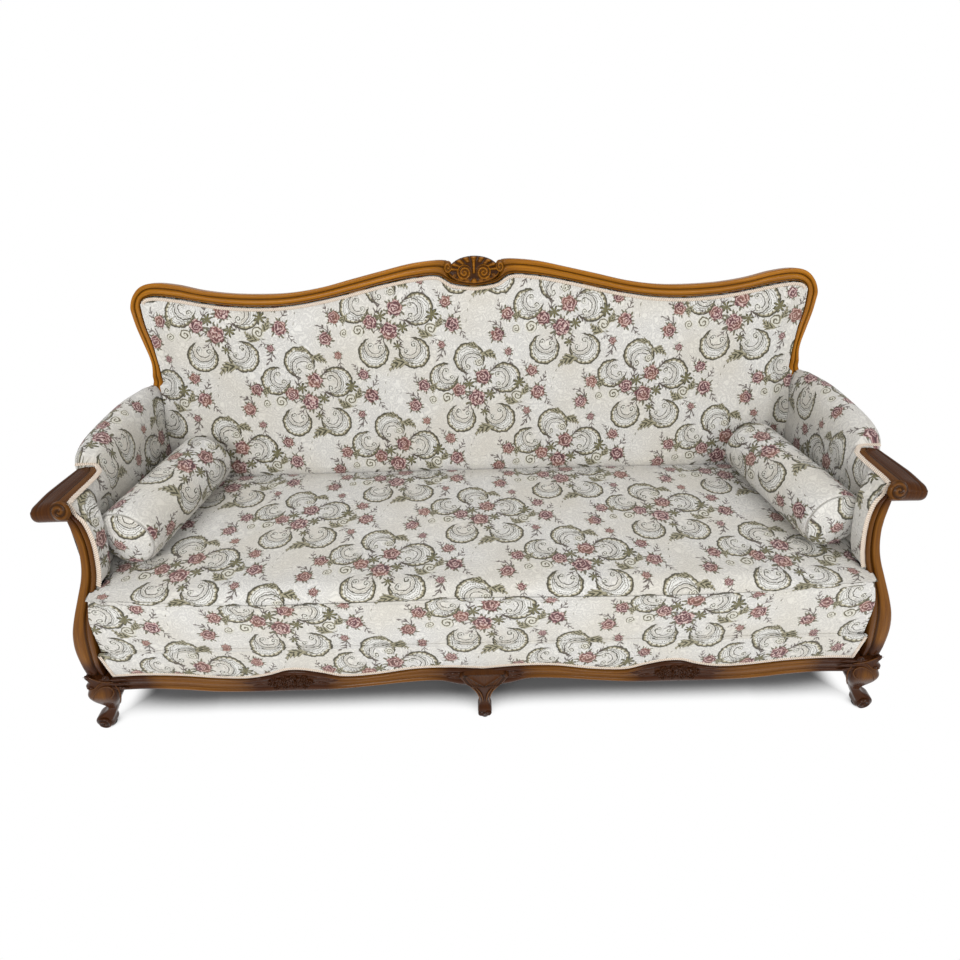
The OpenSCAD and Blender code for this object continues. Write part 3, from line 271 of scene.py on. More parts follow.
def soften(points, rounds=2):
    """A closed outline with its corners cut, round after round."""
    p = np.asarray(points, float)
    for _ in range(rounds):
        q = np.roll(p, -1, axis=0)
        p = np.stack([0.75 * p + 0.25 * q, 0.25 * p + 0.75 * q], 1).reshape(-1, 2)
    return p


class Outline:
    """A closed outline that is read at shares of its length."""

    def __init__(self, points, scale=(1, 1), rounds=2):
        loop = soften(points, rounds)
        loop = np.vstack([loop, loop[:1]])
        run = run_along(loop * np.array(scale))
        self.run = run / run[-1]
        self.loop = loop

    def __call__(self, u):
        return np.interp(u, self.run, self.loop[:, 0]), np.interp(u, self.run, self.loop[:, 1])


def run_along(path):
    """The distance travelled up to each point of a path."""
    return np.concatenate([[0], np.cumsum(np.linalg.norm(np.diff(path, axis=0), axis=1))])


def read_at(where, run, path):
    """A path's points at the distances asked for."""
    return np.stack([np.interp(where, run, path[:, k]) for k in range(3)], -1)


def crowded(v, share):
    """From -1 to 1 as v goes from 0 to 1, with the steps shorter toward both ends."""
    return np.sin((v - 0.5) * np.pi * share) / math.sin(0.5 * math.pi * share)


# Making pieces


def grid_piece(name, columns, rows, place, pattern=None, closed=False, capped=False, wall=0.0,
               toward=(0, 1, 0), smooth=35, **values):
    """A grid primitive moved to place(u, v), with u across and v along. pattern gives the cloth's
    or the grain's place in metres. Each of values, a number or a function, is a point attribute."""
    bpy.ops.object.select_all(action="DESELECT")
    bpy.ops.mesh.primitive_grid_add(x_subdivisions=columns, y_subdivisions=rows, size=1.0)
    piece = bpy.context.object
    piece.name = name
    mesh = piece.data
    mesh.name = name
    count = len(mesh.vertices)
    flat = np.empty(count * 3)
    mesh.vertices.foreach_get("co", flat)
    flat = flat.reshape(-1, 3)
    u, v = flat[:, 0] + 0.5, flat[:, 1] + 0.5
    points = place(u, v)
    mesh.vertices.foreach_set("co", points.ravel())
    marks = np.stack(pattern(u, v) if pattern else (v, u), axis=-1)
    corners = np.empty(len(mesh.loops), int)
    mesh.loops.foreach_get("vertex_index", corners)
    mesh.uv_layers.active.data.foreach_set("uv", marks[corners].ravel())
    for key, value in values.items():
        layer = mesh.attributes.new(key, "FLOAT", "POINT")
        amount = value(u, v) if callable(value) else value
        layer.data.foreach_set("value", np.broadcast_to(amount, (count,)).astype(np.float32))
    mesh.update()
    bpy.ops.object.mode_set(mode="EDIT")
    bpy.ops.mesh.select_all(action="SELECT")
    if closed:
        bpy.ops.mesh.remove_doubles(threshold=0.00002)
    if capped:
        bpy.ops.mesh.fill_holes(sides=0)
    bpy.ops.mesh.select_all(action="SELECT")
    bpy.ops.mesh.normals_make_consistent(inside=False)
    bpy.ops.object.mode_set(mode="OBJECT")
    sizes = np.empty(len(mesh.polygons), int)
    mesh.polygons.foreach_get("loop_total", sizes)
    cap = np.repeat(sizes > 4, sizes)
    if cap.any():
        corners, marks = np.empty(len(cap), int), np.empty(2 * len(cap))
        mesh.loops.foreach_get("vertex_index", corners)
        mesh.uv_layers.active.data.foreach_get("uv", marks)
        marks = marks.reshape(-1, 2)
        total = np.zeros((len(mesh.vertices), 3))
        np.add.at(total, corners[~cap], np.column_stack([marks[~cap], np.ones((~cap).sum())]))
        marks[cap] = total[corners[cap], :2] / total[corners[cap], 2:]
        mesh.uv_layers.active.data.foreach_set("uv", marks.ravel())
    if wall:
        solid = piece.modifiers.new("Wall", "SOLIDIFY")
        facing = sum((face.normal * face.area for face in mesh.polygons), Vector())
        solid.thickness = wall
        solid.offset = math.copysign(1, facing.dot(Vector(toward)))
        bpy.ops.object.modifier_apply(modifier=solid.name)
    bpy.ops.object.shade_smooth_by_angle(angle=math.radians(smooth))
    return piece


def joined(name, pieces):
    """Several meshes as one piece."""
    bpy.ops.object.select_all(action="DESELECT")
    for piece in pieces:
        piece.select_set(True)
    bpy.context.view_layer.objects.active = pieces[0]
    if len(pieces) > 1:
        bpy.ops.object.join()
    whole = bpy.context.object
    whole.name = name
    whole.data.name = name
    return whole


def dress(piece, slot, nodes=(), body="frame"):
    """Gives a piece its slot's finish, hides the frame nodes it stands for and attaches it to its body."""
    piece.data.materials.clear()
    piece.data.materials.append(finish(SLOT_FINISH[slot]))
    if nodes:
        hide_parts(*nodes)
    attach(piece, body)
    return piece


SIDES = ((-1, "left"), (1, "right"))


def sides(fn):
    """Calls fn for the left and the right side."""
    return [fn(side, name) for side, name in SIDES]


# Carving: small forms placed on a face by a local frame


class Face:
    """A flat place to carve on: its origin, its directions across, up and out."""

    def __init__(self, origin, across, up):
        self.origin = np.array(origin, float)
        self.across = np.array(across, float) / np.linalg.norm(across)
        up = np.array(up, float)
        up = up - self.across * (up @ self.across)
        self.up = up / np.linalg.norm(up)
        self.out = np.cross(self.across, self.up)
        if self.out[1] > 0.05:
            self.out = -self.out

    def __call__(self, a, b, c):
        a, b, c = np.broadcast_arrays(a, b, c)
        return self.origin + a[..., None] * self.across + b[..., None] * self.up + c[..., None] * self.out


def front_face(side, x, s, z, turn=0.0):
    """A face that looks ahead, turned in its own plane by degrees and mirrored with the side."""
    cos, sin = math.cos(math.radians(turn)), math.sin(math.radians(turn))
    return Face((x, Y_FRONT + s, z), (side * cos, 0, sin), (-side * sin, 0, cos))


def rosette(name, face, radius, depth, turn=0.0, petals=5):
    """A carved rose: rings of petals round a bud."""

    def place(u, v):
        angle = u * TAU
        reach = 1 + 0.10 * np.cos(petals * angle + turn)
        outer = np.cos(petals * angle + turn) * bump(v, 0.80, 0.22)
        inner = np.cos((petals - 1) * angle + turn * 2 + 1) * bump(v, 0.45, 0.18)
        dome = 0.95 * np.sqrt(np.clip(1 - v**2, 0, 1)) + 0.18 * outer + 0.20 * inner
        dip = 0.30 * bump(v, 0.62, 0.07) + 0.25 * bump(v, 0.28, 0.06) + 0.25 * bump(v, 0, 0.07)
        r = radius * v * reach
        return face(r * np.cos(angle), r * np.sin(angle),
                    depth * (dome - dip) - 0.002 * ease((v - 0.9) / 0.1))

    # groove marks the petal rings and the rose's foot for painted shade
    return grid_piece(name, 40, 14, place, closed=True, capped=True, smooth=80,
                      pattern=lambda u, v: (v * radius, u * radius),
                      groove=lambda u, v: bump(v, 0.62, 0.09) + bump(v, 0.28, 0.08) + ease((v - 0.9) / 0.1),
                      stain=1.0)


def leaf(name, face, length, width, depth, bend=0.0, lobes=4):
    """A carved leaf along the face's across direction, with lobed edges and a rib."""

    def place(u, v):
        w = 2 * u - 1
        half = width / 2 * np.sin(np.pi * np.clip(v, 0.001, 0.999) ** 0.75) ** 0.8
        half = half * (1 - 0.16 * np.abs(np.sin(lobes * np.pi * v)) * np.abs(w))
        rib = 0.28 * bump(w, 0, 0.16) * np.sin(np.pi * v)
        vein = 0.10 * np.cos(TAU * (lobes * 1.6 * v + 1.2 * np.abs(w))) * np.abs(w)
        rise = np.sin(np.pi * v) ** 0.5 * (1 - w**2) ** 0.6 - rib + vein * np.sin(np.pi * v)
        return face(length * v, half * w + bend * length * v**2, depth * rise - SUNK)

    # groove marks the sunk rib and the leaf's edges for painted shade
    return grid_piece(name, 14, 22, place, wall=0.002, smooth=70,
                      pattern=lambda u, v: (v * length, u * width),
                      groove=lambda u, v: bump(2 * u - 1, 0, 0.14) + 0.6 * np.abs(2 * u - 1) ** 6,
                      stain=1.0)


def bead(name, path, normal, radius, taper=0.5, stain=1.0):
    """A raised carved line along a path, fading at both ends."""
    path = np.asarray(path, float)
    run = run_along(path)
    run = run / run[-1]
    for _ in range(3):
        mids = np.linspace(0, 1, 2 * len(path))
        path = read_at(mids, run, path)
        path[1:-1] = (path[:-2] + 2 * path[1:-1] + path[2:]) / 4
        run = mids
    normal = np.asarray(normal, float) / np.linalg.norm(normal)
    ahead = np.gradient(path, axis=0)
    across = np.cross(normal, ahead)
    across /= np.linalg.norm(across, axis=1)[:, None]

    def place(u, v):
        angle = u * TAU
        r = radius * np.clip(np.sin(np.pi * np.clip(v, 0, 1)), 0, 1) ** taper
        aside = (r * np.cos(angle))[:, None] * read_at(v, run, across)
        return read_at(v, run, path) + aside + (r * 0.9 * np.sin(angle))[:, None] * normal

    # groove marks the bead's foot on the surface for painted shade
    return grid_piece(name, 10, 40, place, closed=True, smooth=80, pattern=lambda u, v: (v * 0.08, u * 0.01),
                      groove=lambda u, v: 0.9 * ease((0.12 - np.sin(TAU * u)) / 0.3),
                      stain=stain)


def volute(name, face, radius, depth, turns=1.9, side=1, stain=1.0):
    """A round boss with a spiral cut in it."""

    def place(u, v):
        angle = u * TAU
        spiral = 0.5 + 0.5 * np.cos(TAU * turns * v - side * angle)
        rise = (0.55 * np.sqrt(np.clip(1 - v**2, 0, 1)) + 0.45 * spiral * ease((1 - v) / 0.12)
                + 0.15 * bump(v, 0, 0.2))
        r = radius * v
        return face(r * np.cos(angle), r * np.sin(angle), depth * rise - 0.001 * ease((v - 0.9) / 0.1))

    # groove marks the spiral cut for painted shade
    return grid_piece(name, 48, 20, place, closed=True, capped=True, smooth=80,
                      pattern=lambda u, v: (v * radius, u * radius),
                      groove=lambda u, v: (0.5 - 0.5 * np.cos(TAU * turns * v - side * TAU * u))
                          * ease((1 - v) / 0.1),
                      stain=stain)


# Materials


def hexa(code):
    """An sRGB hex colour as linear red, green, blue and alpha."""
    parts = [int(code[i:i + 2], 16) / 255 for i in (0, 2, 4)]
    return tuple(c / 12.92 if c <= 0.04045 else ((c + 0.055) / 1.055) ** 2.4 for c in parts) + (1.0,)


def add_node(tree, kind, *feeds, out=None, **settings):
    """Adds a node with its settings and links. A mode follows the kind after a colon, as in Math:SINE.
    feeds are values and sockets for the usable inputs in order, or one dictionary by name. It
    returns the output asked for, or else the first usable one."""
    kind, _, mode = kind.partition(":")
    made_node = tree.nodes.new("ShaderNode" + kind)
    if mode:
        setattr(made_node, "data_type" if kind == "Mix" else "operation", mode)
    for key, value in settings.items():
        setattr(made_node, key, value)
    if feeds and isinstance(feeds[0], dict):
        pairs = [(made_node.inputs[key], value) for key, value in feeds[0].items()]
    else:
        pairs = list(zip([socket for socket in made_node.inputs if socket.enabled], feeds, strict=False))
    for socket, value in pairs:
        if isinstance(value, bpy.types.NodeSocket):
            tree.links.new(value, socket)
        else:
            socket.default_value = value
    usable = [socket for socket in made_node.outputs if socket.enabled]
    return made_node.outputs[out] if out is not None else usable[0] if usable else None


def new_material(name):
    """A material without nodes, and the function that adds nodes to it."""
    material = bpy.data.materials.new(name)
    material.use_nodes = True
    material.node_tree.nodes.clear()
    return material, partial(add_node, material.node_tree)


REPEAT = 0.470
ROW = 0.192


def placed(node, lattice, spots):
    """The nearest of some repeated spots, as local coordinates. A spot is across, up, turn in
    degrees, size and flip, with lengths in shares of the repeat."""
    best = near = None
    for x, y, turn, size, flip in spots:
        c, s = math.cos(math.radians(turn)), math.sin(math.radians(turn))
        k = 1 / (size * REPEAT)
        b = y * REPEAT / ROW
        home = (x - 0.5 * b, b, 0)
        step = node("VectorMath:SUBTRACT", lattice, home)
        step = node("VectorMath:WRAP", step, (0.5, 0.5, 0.5), (-0.5, -0.5, -0.5))
        row_x = (c * REPEAT * k, (c * REPEAT / 2 + s * ROW) * k, 0)
        row_y = (-s * REPEAT * k * flip, (-s * REPEAT / 2 + c * ROW) * k * flip, 0)
        local = node("CombineXYZ", node("VectorMath:DOT_PRODUCT", step, row_x),
                     node("VectorMath:DOT_PRODUCT", step, row_y))
        away = node("VectorMath:LENGTH", local)
        if best is None:
            best, near = local, away
            continue
        closer = node("Math:LESS_THAN", away, near)
        best = node("Mix:VECTOR", closer, best, local)
        near = node("Math:MINIMUM", away, near)
    return best, near


def fill_ramp(output, tones):
    """Sets a colour ramp's stops from pairs of place and hex colour."""
    stops = output.node.color_ramp.elements
    stops[0].color, stops[1].color = hexa(tones[0][1]), hexa(tones[-1][1])
    for place, tone in tones[1:-1]:
        stops.new(place).color = hexa(tone)


def turn_of(node, local):
    """The angle of a local vector, in radians."""
    parts = node("SeparateXYZ", local).node.outputs
    return (node("Math:ARCTAN2", parts[1], parts[0]), parts)


def step_down(node, value, edge, blur):
    """1 below the edge, 0 above it, soft over the blur."""
    return node("MapRange", value, edge - blur, edge + blur, 1.0, 0.0, interpolation_type="SMOOTHSTEP")


# Where each kind of figure stands in the repeat: across, up, turn in degrees, size, mirrored or not
ROSES = [(0, 0, 10, 0.050, 1), (0.040, 0.128, 60, 0.046, 1), (-0.105, 0.052, 120, 0.040, -1),
         (0.331, 0.158, 20, 0.032, 1), (0.367, 0.030, 60, 0.042, -1), (-0.314, 0.083, 200, 0.036, 1),
         (-0.373, -0.036, 250, 0.038, -1), (0.300, -0.085, 30, 0.022, 1), (-0.310, -0.135, 60, 0.022, 1)]
SCROLLS = [(-0.195, 0.130, 20, 0.086, 1), (0.170, 0.118, 197, 0.094, -1), (-0.098, -0.125, 62, 0.090, 1),
           (0.140, -0.130, 118, 0.092, 1), (-0.040, 0.240, 284, 0.092, 1)]
CURLS = [(0.243, 0.008, 0, 0.036, 1), (-0.178, 0.005, 200, 0.034, -1), (-0.262, -0.005, 30, 0.024, 1),
         (0.020, 0.215, 40, 0.022, -1)]
PLUMES = [(0.030, -0.190, 205, 0.074, 1), (-0.020, 0.318, 175, 0.044, 1), (0.195, -0.020, 145, 0.058, -1),
          (-0.262, 0.068, 250, 0.044, 1), (0.295, 0.045, 65, 0.050, 1), (0.085, 0.262, 335, 0.060, -1)]
SPRIGS = [(-0.370, 0.020, 140, 0.060, 1), (0.300, -0.135, 250, 0.060, -1), (0.400, 0.110, 60, 0.046, 1),
          (-0.360, 0.120, 110, 0.044, -1), (0.425, -0.030, 300, 0.044, 1), (-0.300, -0.190, 280, 0.040, 1),
          (0.060, -0.065, 280, 0.042, 1), (0.110, 0.050, 330, 0.046, -1), (-0.060, 0.130, 80, 0.052, 1),
          (0.290, 0.200, 120, 0.036, 1), (-0.040, 0.020, 190, 0.060, 1), (-0.175, 0.060, 160, 0.036, -1),
          (-0.050, -0.050, 230, 0.048, -1), (0.100, 0.175, 50, 0.040, 1), (-0.080, 0.170, 120, 0.034, -1),
          (0.260, -0.060, 200, 0.034, 1)]
STARS = [(0.254, 0.089, 0, 0.040, 1), (0.045, -0.085, 40, 0.030, 1), (0.080, 0.020, 15, 0.036, 1),
         (-0.045, 0.085, 70, 0.036, 1)]


def rose_jacquard():
    """Cotton and viscose jacquard: a raised self-tone ground, woven scrolls and roses. It gives the
    eye a matt, slightly puffed cloth whose figures are drawn with dark outlines."""
    material, node = new_material("Rose jacquard")

    def near(value, centre, half, blur):
        """1 where the value lies within half of the centre."""
        return step_down(node, node("Math:ABSOLUTE", node("Math:SUBTRACT", value, centre)), half, blur)

    cloth = node("UVMap")
    wobble = node("TexNoise", {"Vector": cloth, "Scale": 90.0, "Detail": 4.0, "Roughness": 0.62}, out=1)
    wobble = node("VectorMath:SUBTRACT", wobble, (0.5, 0.5, 0.5))
    drawn = node("VectorMath:MULTIPLY_ADD", wobble, (0.011, 0.011, 0), cloth)
    lattice = node("CombineXYZ", node("VectorMath:DOT_PRODUCT", drawn, (1 / REPEAT, -0.5 / ROW, 0)),
                   node("VectorMath:DOT_PRODUCT", drawn, (0, 1 / ROW, 0)))

    # Ground: raised arcs and curls of one tone, about 5 mm apart. The low parts between them are coloured
    # darker: painted shade
    bent = node("VectorMath:MULTIPLY_ADD", wobble, (0.022, 0.022, 0), cloth)
    fan = node("TexVoronoi", {"Vector": bent, "Scale": 40.0, "Randomness": 1.0})
    ripple = node("Math:SINE", node("Math:MULTIPLY", fan, TAU * 4.6))
    raised = node("MapRange", ripple, -0.3, 0.5)
    colour = node("Mix:RGBA", raised, hexa("CAC8C4"), hexa("DDDBD5"))
    tint = node("TexNoise", {"Vector": cloth, "Scale": 5.0, "Detail": 1.0})
    colour = node("Mix:RGBA", node("MapRange", tint, 0.4, 0.62, 0.0, 0.35), colour, hexa("C9C0AC"))

    # Scrolls: crescents between two circles. Outer line, olive shade, thin line, beads and a comb
    local, reach = placed(node, lattice, SCROLLS)
    angle, parts = turn_of(node, local)
    outer = node("Math:MULTIPLY_ADD",
                 node("Math:ABSOLUTE", node("Math:SINE", node("Math:MULTIPLY", angle, 4.5))), -0.02, reach)
    outer = node("Math:SUBTRACT", outer, 0.96)
    hollow = node("VectorMath:SUBTRACT", local, (0.4, 0.1, 0.0))
    hollow = node("VectorMath:LENGTH", hollow)
    inner = node("Math:SUBTRACT", 0.68, hollow)
    within = node("Math:MAXIMUM", outer, inner)
    body = step_down(node, within, 0.0, 0.03)
    teeth = node("Math:SINE", node("Math:MULTIPLY", angle, 38.0))
    shade = node("ValToRGB", node("Math:MULTIPLY", outer, -4.4))
    tones = [(0.0, "4A4531"), (0.16, "5F5940"), (0.36, "8E866A"), (0.60, "BDB69E"), (0.85, "D5D4CC"),
             (1.0, "D8D7D2")]
    fill_ramp(shade, tones)
    colour = node("Mix:RGBA", body, colour, shade)
    thin = node("Math:MAXIMUM", near(outer, -0.27, 0.022, 0.022), near(inner, -0.12, 0.02, 0.022))
    beads = node("Math:MULTIPLY", near(outer, -0.4, 0.035, 0.02), node("MapRange", teeth, 0.0, 0.5))
    comb = node("Math:MULTIPLY", near(outer, -0.14, 0.06, 0.03),
                node("MapRange", node("Math:SINE", node("Math:MULTIPLY", angle, 19.0)), 0.2, 0.7))
    drawing = node("Math:MULTIPLY", node("Math:MAXIMUM", node("Math:MAXIMUM", thin, beads), comb), body)
    colour = node("Mix:RGBA", node("Math:MULTIPLY", drawing, 0.9), colour, hexa("504A38"))
    fringe = node("Math:MULTIPLY", near(inner, 0.1, 0.04, 0.03),
                  node("Math:MULTIPLY", node("MapRange", teeth, 0.2, 0.7),
                       step_down(node, outer, -0.1, 0.05)))
    colour = node("Mix:RGBA", node("Math:MULTIPLY", fringe, 0.8), colour, hexa("6F6848"))
    outline = node("Math:MULTIPLY", near(outer, -0.02, 0.05, 0.025), step_down(node, inner, 0.02, 0.03))
    inner_line = node("Math:MULTIPLY", near(inner, -0.01, 0.03, 0.022), step_down(node, outer, 0.0, 0.03))
    arc = node("Math:MULTIPLY", near(hollow, 0.44, 0.026, 0.022), step_down(node, parts[0], 0.34, 0.08))
    ring = lines = node("Math:MAXIMUM", node("Math:MAXIMUM", outline, inner_line), arc)
    for eye_at, eye_r in (((0.50, -0.24, 0.0), 0.20), ((0.36, 0.38, 0.0), 0.17)):
        there = node("VectorMath:SUBTRACT", local, eye_at)
        eye = node("VectorMath:LENGTH", there)
        wound = node("Math:MULTIPLY_ADD", eye, 1.35 / eye_r,
                     node("Math:MULTIPLY", turn_of(node, there)[0], 1 / TAU))
        inside = step_down(node, eye, eye_r, 0.03)
        colour = node("Mix:RGBA", inside, colour, hexa("D4D2C9"))
        ring = node("Math:MULTIPLY", step_down(node, node("Math:FRACT", wound), 0.34, 0.08), inside)
        lines = node("Math:MAXIMUM", lines, ring)
    colour = node("Mix:RGBA", lines, colour, hexa("403C2C"))
    figures = node("Math:MAXIMUM", body, ring)

    # Curls: small spirals
    local, reach = placed(node, lattice, CURLS)
    angle = turn_of(node, local)[0]
    wind = node("Math:FRACT", node("Math:MULTIPLY_ADD", reach, 1.8, node("Math:MULTIPLY", angle, -1 / TAU)))
    inside = step_down(node, reach, 1.0, 0.05)
    colour = node("Mix:RGBA", inside, colour, hexa("D2CFC2"))
    colour = node("Mix:RGBA", node("Math:MULTIPLY", step_down(node, wind, 0.36, 0.1), inside), colour,
                  hexa("605A45"))

    # Plumes: curved acanthus leaves with slanting veins and toothed edges
    local, reach = placed(node, lattice, PLUMES)
    parts = turn_of(node, local)[1]
    bow = node("Math:MULTIPLY_ADD", node("Math:MULTIPLY", parts[0], parts[0]), -0.42, parts[1])
    across = node("Math:ABSOLUTE", bow)
    slant = node("Math:SINE", node("Math:MULTIPLY", node("Math:MULTIPLY_ADD", across, -1.5, parts[0]), 14.0))
    half = node("MapRange", node("Math:ABSOLUTE", node("Math:ADD", parts[0], 0.15)), 1.1, 0.1, -0.05, 0.4)
    over = node("Math:MULTIPLY_ADD", slant, -0.08, node("Math:SUBTRACT", across, half))
    plume = step_down(node, over, 0.0, 0.05)
    colour = node("Mix:RGBA", plume, colour, hexa("948E74"))
    ribs = node("Math:MAXIMUM", step_down(node, slant, -0.1, 0.35), near(over, 0.0, 0.05, 0.04))
    colour = node("Mix:RGBA", node("Math:MULTIPLY", plume, ribs), colour, hexa("3B3824"))

    # Leaf stars among the flowers
    local, reach = placed(node, lattice, STARS)
    angle = turn_of(node, local)[0]
    points = node("Math:ABSOLUTE", node("Math:COSINE", node("Math:MULTIPLY", angle, 3.5)))
    over = node("Math:MULTIPLY_ADD", points, -0.8, reach)
    star = step_down(node, over, 0.2, 0.05)
    colour = node("Mix:RGBA", star, colour, hexa("3C3A28"))
    colour = node("Mix:RGBA", step_down(node, over, -0.05, 0.1), colour, hexa("6A6542"))

    # Sprigs: bent stems with paired leaves and buds
    local, reach = placed(node, lattice, SPRIGS)
    parts = turn_of(node, local)[1]
    bow = node("Math:MULTIPLY_ADD", node("Math:MULTIPLY", parts[0], parts[0]), -0.35, parts[1])
    across = node("Math:ABSOLUTE", bow)
    teeth = node("Math:SINE", node("Math:MULTIPLY", node("Math:MULTIPLY_ADD", across, -1.1, parts[0]), 10.5))
    taper = node("MapRange", node("Math:ABSOLUTE", parts[0]), 1.0, 0.0, 0.0, 0.46)
    leaves = node("Math:MULTIPLY", node("MapRange", teeth, 0.3, 0.75),
                  step_down(node, node("Math:SUBTRACT", across, taper), 0.0, 0.06))
    stem = node("Math:MULTIPLY", step_down(node, across, 0.045, 0.035), step_down(node, reach, 1.0, 0.05))
    twig = node("Math:MAXIMUM", leaves, stem)
    colour = node("Mix:RGBA", node("Math:MULTIPLY", twig, 0.92), colour, hexa("4A3D38"))

    # Roses: petals wound round a bud, with small dark leaves round them
    local, reach = placed(node, lattice, ROSES)
    angle = turn_of(node, local)[0]
    five = node("Math:SINE", node("Math:MULTIPLY", angle, 5.0))
    seven = node("Math:COSINE", node("Math:MULTIPLY_ADD", reach, 2.0, node("Math:MULTIPLY", angle, 11.0)))
    fringe = node("Math:MULTIPLY_ADD", node("Math:MULTIPLY", seven, five), -0.48, reach)
    leafy = step_down(node, fringe, 1.08, 0.06)
    colour = node("Mix:RGBA", node("Math:MULTIPLY", leafy, 0.92), colour, hexa("484532"))
    colour = node("Mix:RGBA", near(fringe, 0.96, 0.04, 0.06), colour, hexa("7C7652"))
    wind = node("Math:MULTIPLY_ADD", angle, -1 / TAU, node("Math:MULTIPLY", reach, 2.3))
    petal = node("TexVoronoi", {"Vector": drawn, "Scale": 120.0, "Randomness": 1.0})
    petals = node("Math:MULTIPLY_ADD", petal, 1.05, node("Math:MULTIPLY", five, 0.08))
    wind = node("Math:FRACT", node("Math:ADD", petals, wind))
    ramp = node("ValToRGB", wind)
    tones = [(0.0, "3A1D23"), (0.18, "5A3238"), (0.36, "85575B"), (0.50, "C0A29C"), (0.60, "D6C6BF"),
             (0.70, "A07873"), (0.84, "6B4045"), (1.0, "3A1F25")]
    fill_ramp(ramp, tones)
    bloom = step_down(node, node("Math:MULTIPLY_ADD", five, -0.09, reach), 0.94, 0.06)
    colour = node("Mix:RGBA", bloom, colour, ramp)
    warm = node("Math:MULTIPLY", bloom,
                node("MapRange", node("TexNoise", {"Vector": cloth, "Scale": 14.0}), 0.45, 0.62, 0.0, 0.22))
    colour = node("Mix:RGBA", warm, colour, hexa("A8784E"))
    figures = node("Math:MAXIMUM", node("Math:MAXIMUM", figures, plume), node("Math:MAXIMUM", bloom, leafy))

    # Yarn: ribs 1.6 mm apart, coarser than the real weave so that they show
    thread = node("VectorMath:MULTIPLY", cloth, (1.0, 2.4, 1.0))
    yarn = node("TexNoise", {"Vector": thread, "Scale": 620.0, "Detail": 1.0})
    colour = node("Mix:RGBA", node("MapRange", yarn, 0.35, 0.65, 0.22, 0.0), colour, hexa("84817A"))
    lift = node("Math:MULTIPLY_ADD", node("Math:MAXIMUM", raised, figures), 0.55,
                node("Math:MULTIPLY", yarn, 0.35))
    relief = node("Bump", {"Height": lift, "Distance": 0.0013, "Strength": 0.8})
    shader = node("BsdfPrincipled",
                  {"Base Color": colour, "Roughness": 0.86, "Normal": relief, "Sheen Weight": 0.15,
                   "Sheen Roughness": 0.5, "Specular IOR Level": 0.25})
    node("OutputMaterial", shader)
    return material


def carved_walnut():
    """Walnut under satin lacquer: golden amber on the long rails, stained near black-brown in the
    carving. Grooves, hollows and the feet of the carved pieces are coloured darker as painted shade, and
    high relief on the shell, the knee and the carved lines is coloured lighter as a painted highlight."""
    material, node = new_material("Carved walnut, satin lacquer")
    grain_at = node("UVMap")
    groove = node("Attribute", attribute_name="groove", out="Fac")
    stain = node("Attribute", attribute_name="stain", out="Fac")
    long = node("VectorMath:MULTIPLY", grain_at, (9.0, 260.0, 1.0))
    grain = node("TexNoise", {"Vector": long, "Scale": 1.0, "Detail": 4.0, "Distortion": 0.6})
    broad = node("TexNoise",
                 {"Vector": node("VectorMath:MULTIPLY", grain_at, (3.0, 40.0, 1.0)), "Scale": 1.0,
                  "Detail": 2.0})
    amber = node("Mix:RGBA", node("MapRange", grain, 0.34, 0.66, 0.0, 1.0), hexa("845010"), hexa("AC701A"))
    amber = node("Mix:RGBA", node("MapRange", broad, 0.35, 0.65, 0.0, 0.55), amber, hexa("845418"))
    dark = node("Mix:RGBA", node("MapRange", grain, 0.34, 0.66, 0.0, 1.0), hexa("351A0A"), hexa("40210A"))
    # The stain attribute carries the stain and, on the shell, the knee and the carved lines, a painted
    # highlight
    colour = node("Mix:RGBA", stain, amber, dark)
    # Painted shade: the groove attribute darkens grooves, hollows and the feet of the carved pieces
    colour = node("Mix:RGBA", node("Math:MULTIPLY", groove, 0.8, use_clamp=True), colour, hexa("1E0F06"))
    pores = node("TexNoise",
                 {"Vector": node("VectorMath:MULTIPLY", grain_at, (60.0, 1400.0, 1.0)), "Scale": 1.0,
                  "Detail": 2.0})
    relief = node("Bump", {"Height": pores, "Distance": 0.0002, "Strength": 0.2})
    rough = node("MapRange", pores, 0.3, 0.7, 0.2, 0.3)
    shader = node("BsdfPrincipled",
                  {"Base Color": colour, "Roughness": rough, "Normal": relief, "IOR": 1.5,
                   "Specular IOR Level": 0.15})
    node("OutputMaterial", shader)
    return material


def plain_wood(name, light, dark, roughness):
    """Planed frame wood with its grain along the longest way, told by object coordinates."""
    material, node = new_material(name)
    where = node("TexCoord", out="Object")
    grain = node("TexNoise",
                 {"Vector": node("VectorMath:MULTIPLY", where, (4.0, 90.0, 90.0)), "Scale": 1.0,
                  "Detail": 4.0})
    colour = node("Mix:RGBA", node("MapRange", grain, 0.35, 0.65, 0.0, 1.0), hexa(dark), hexa(light))
    relief = node("Bump", {"Height": grain, "Distance": 0.0003, "Strength": 0.4})
    shader = node("BsdfPrincipled", {"Base Color": colour, "Roughness": roughness, "Normal": relief})
    node("OutputMaterial", shader)
    return material


def gimp_braid():
    """Viscose gimp: a narrow braid of looped cord, about 5 mm to a loop, with a soft shine."""
    material, node = new_material("Viscose gimp braid")
    along = node("UVMap")
    parts = node("SeparateXYZ", along).node.outputs
    loops = node("Math:MULTIPLY", parts[0], TAU / 0.005)
    sway = node("Math:MULTIPLY_ADD", parts[1], 700.0, loops)
    twist = node("Math:SINE", sway)
    colour = node("Mix:RGBA", node("MapRange", twist, -0.8, 0.8, 0.0, 1.0), hexa("B3A08C"), hexa("DED0C0"))
    relief = node("Bump", {"Height": twist, "Distance": 0.0006, "Strength": 0.7})
    shader = node("BsdfPrincipled",
                  {"Base Color": colour, "Roughness": 0.6, "Normal": relief, "Sheen Weight": 0.3})
    node("OutputMaterial", shader)
    return material


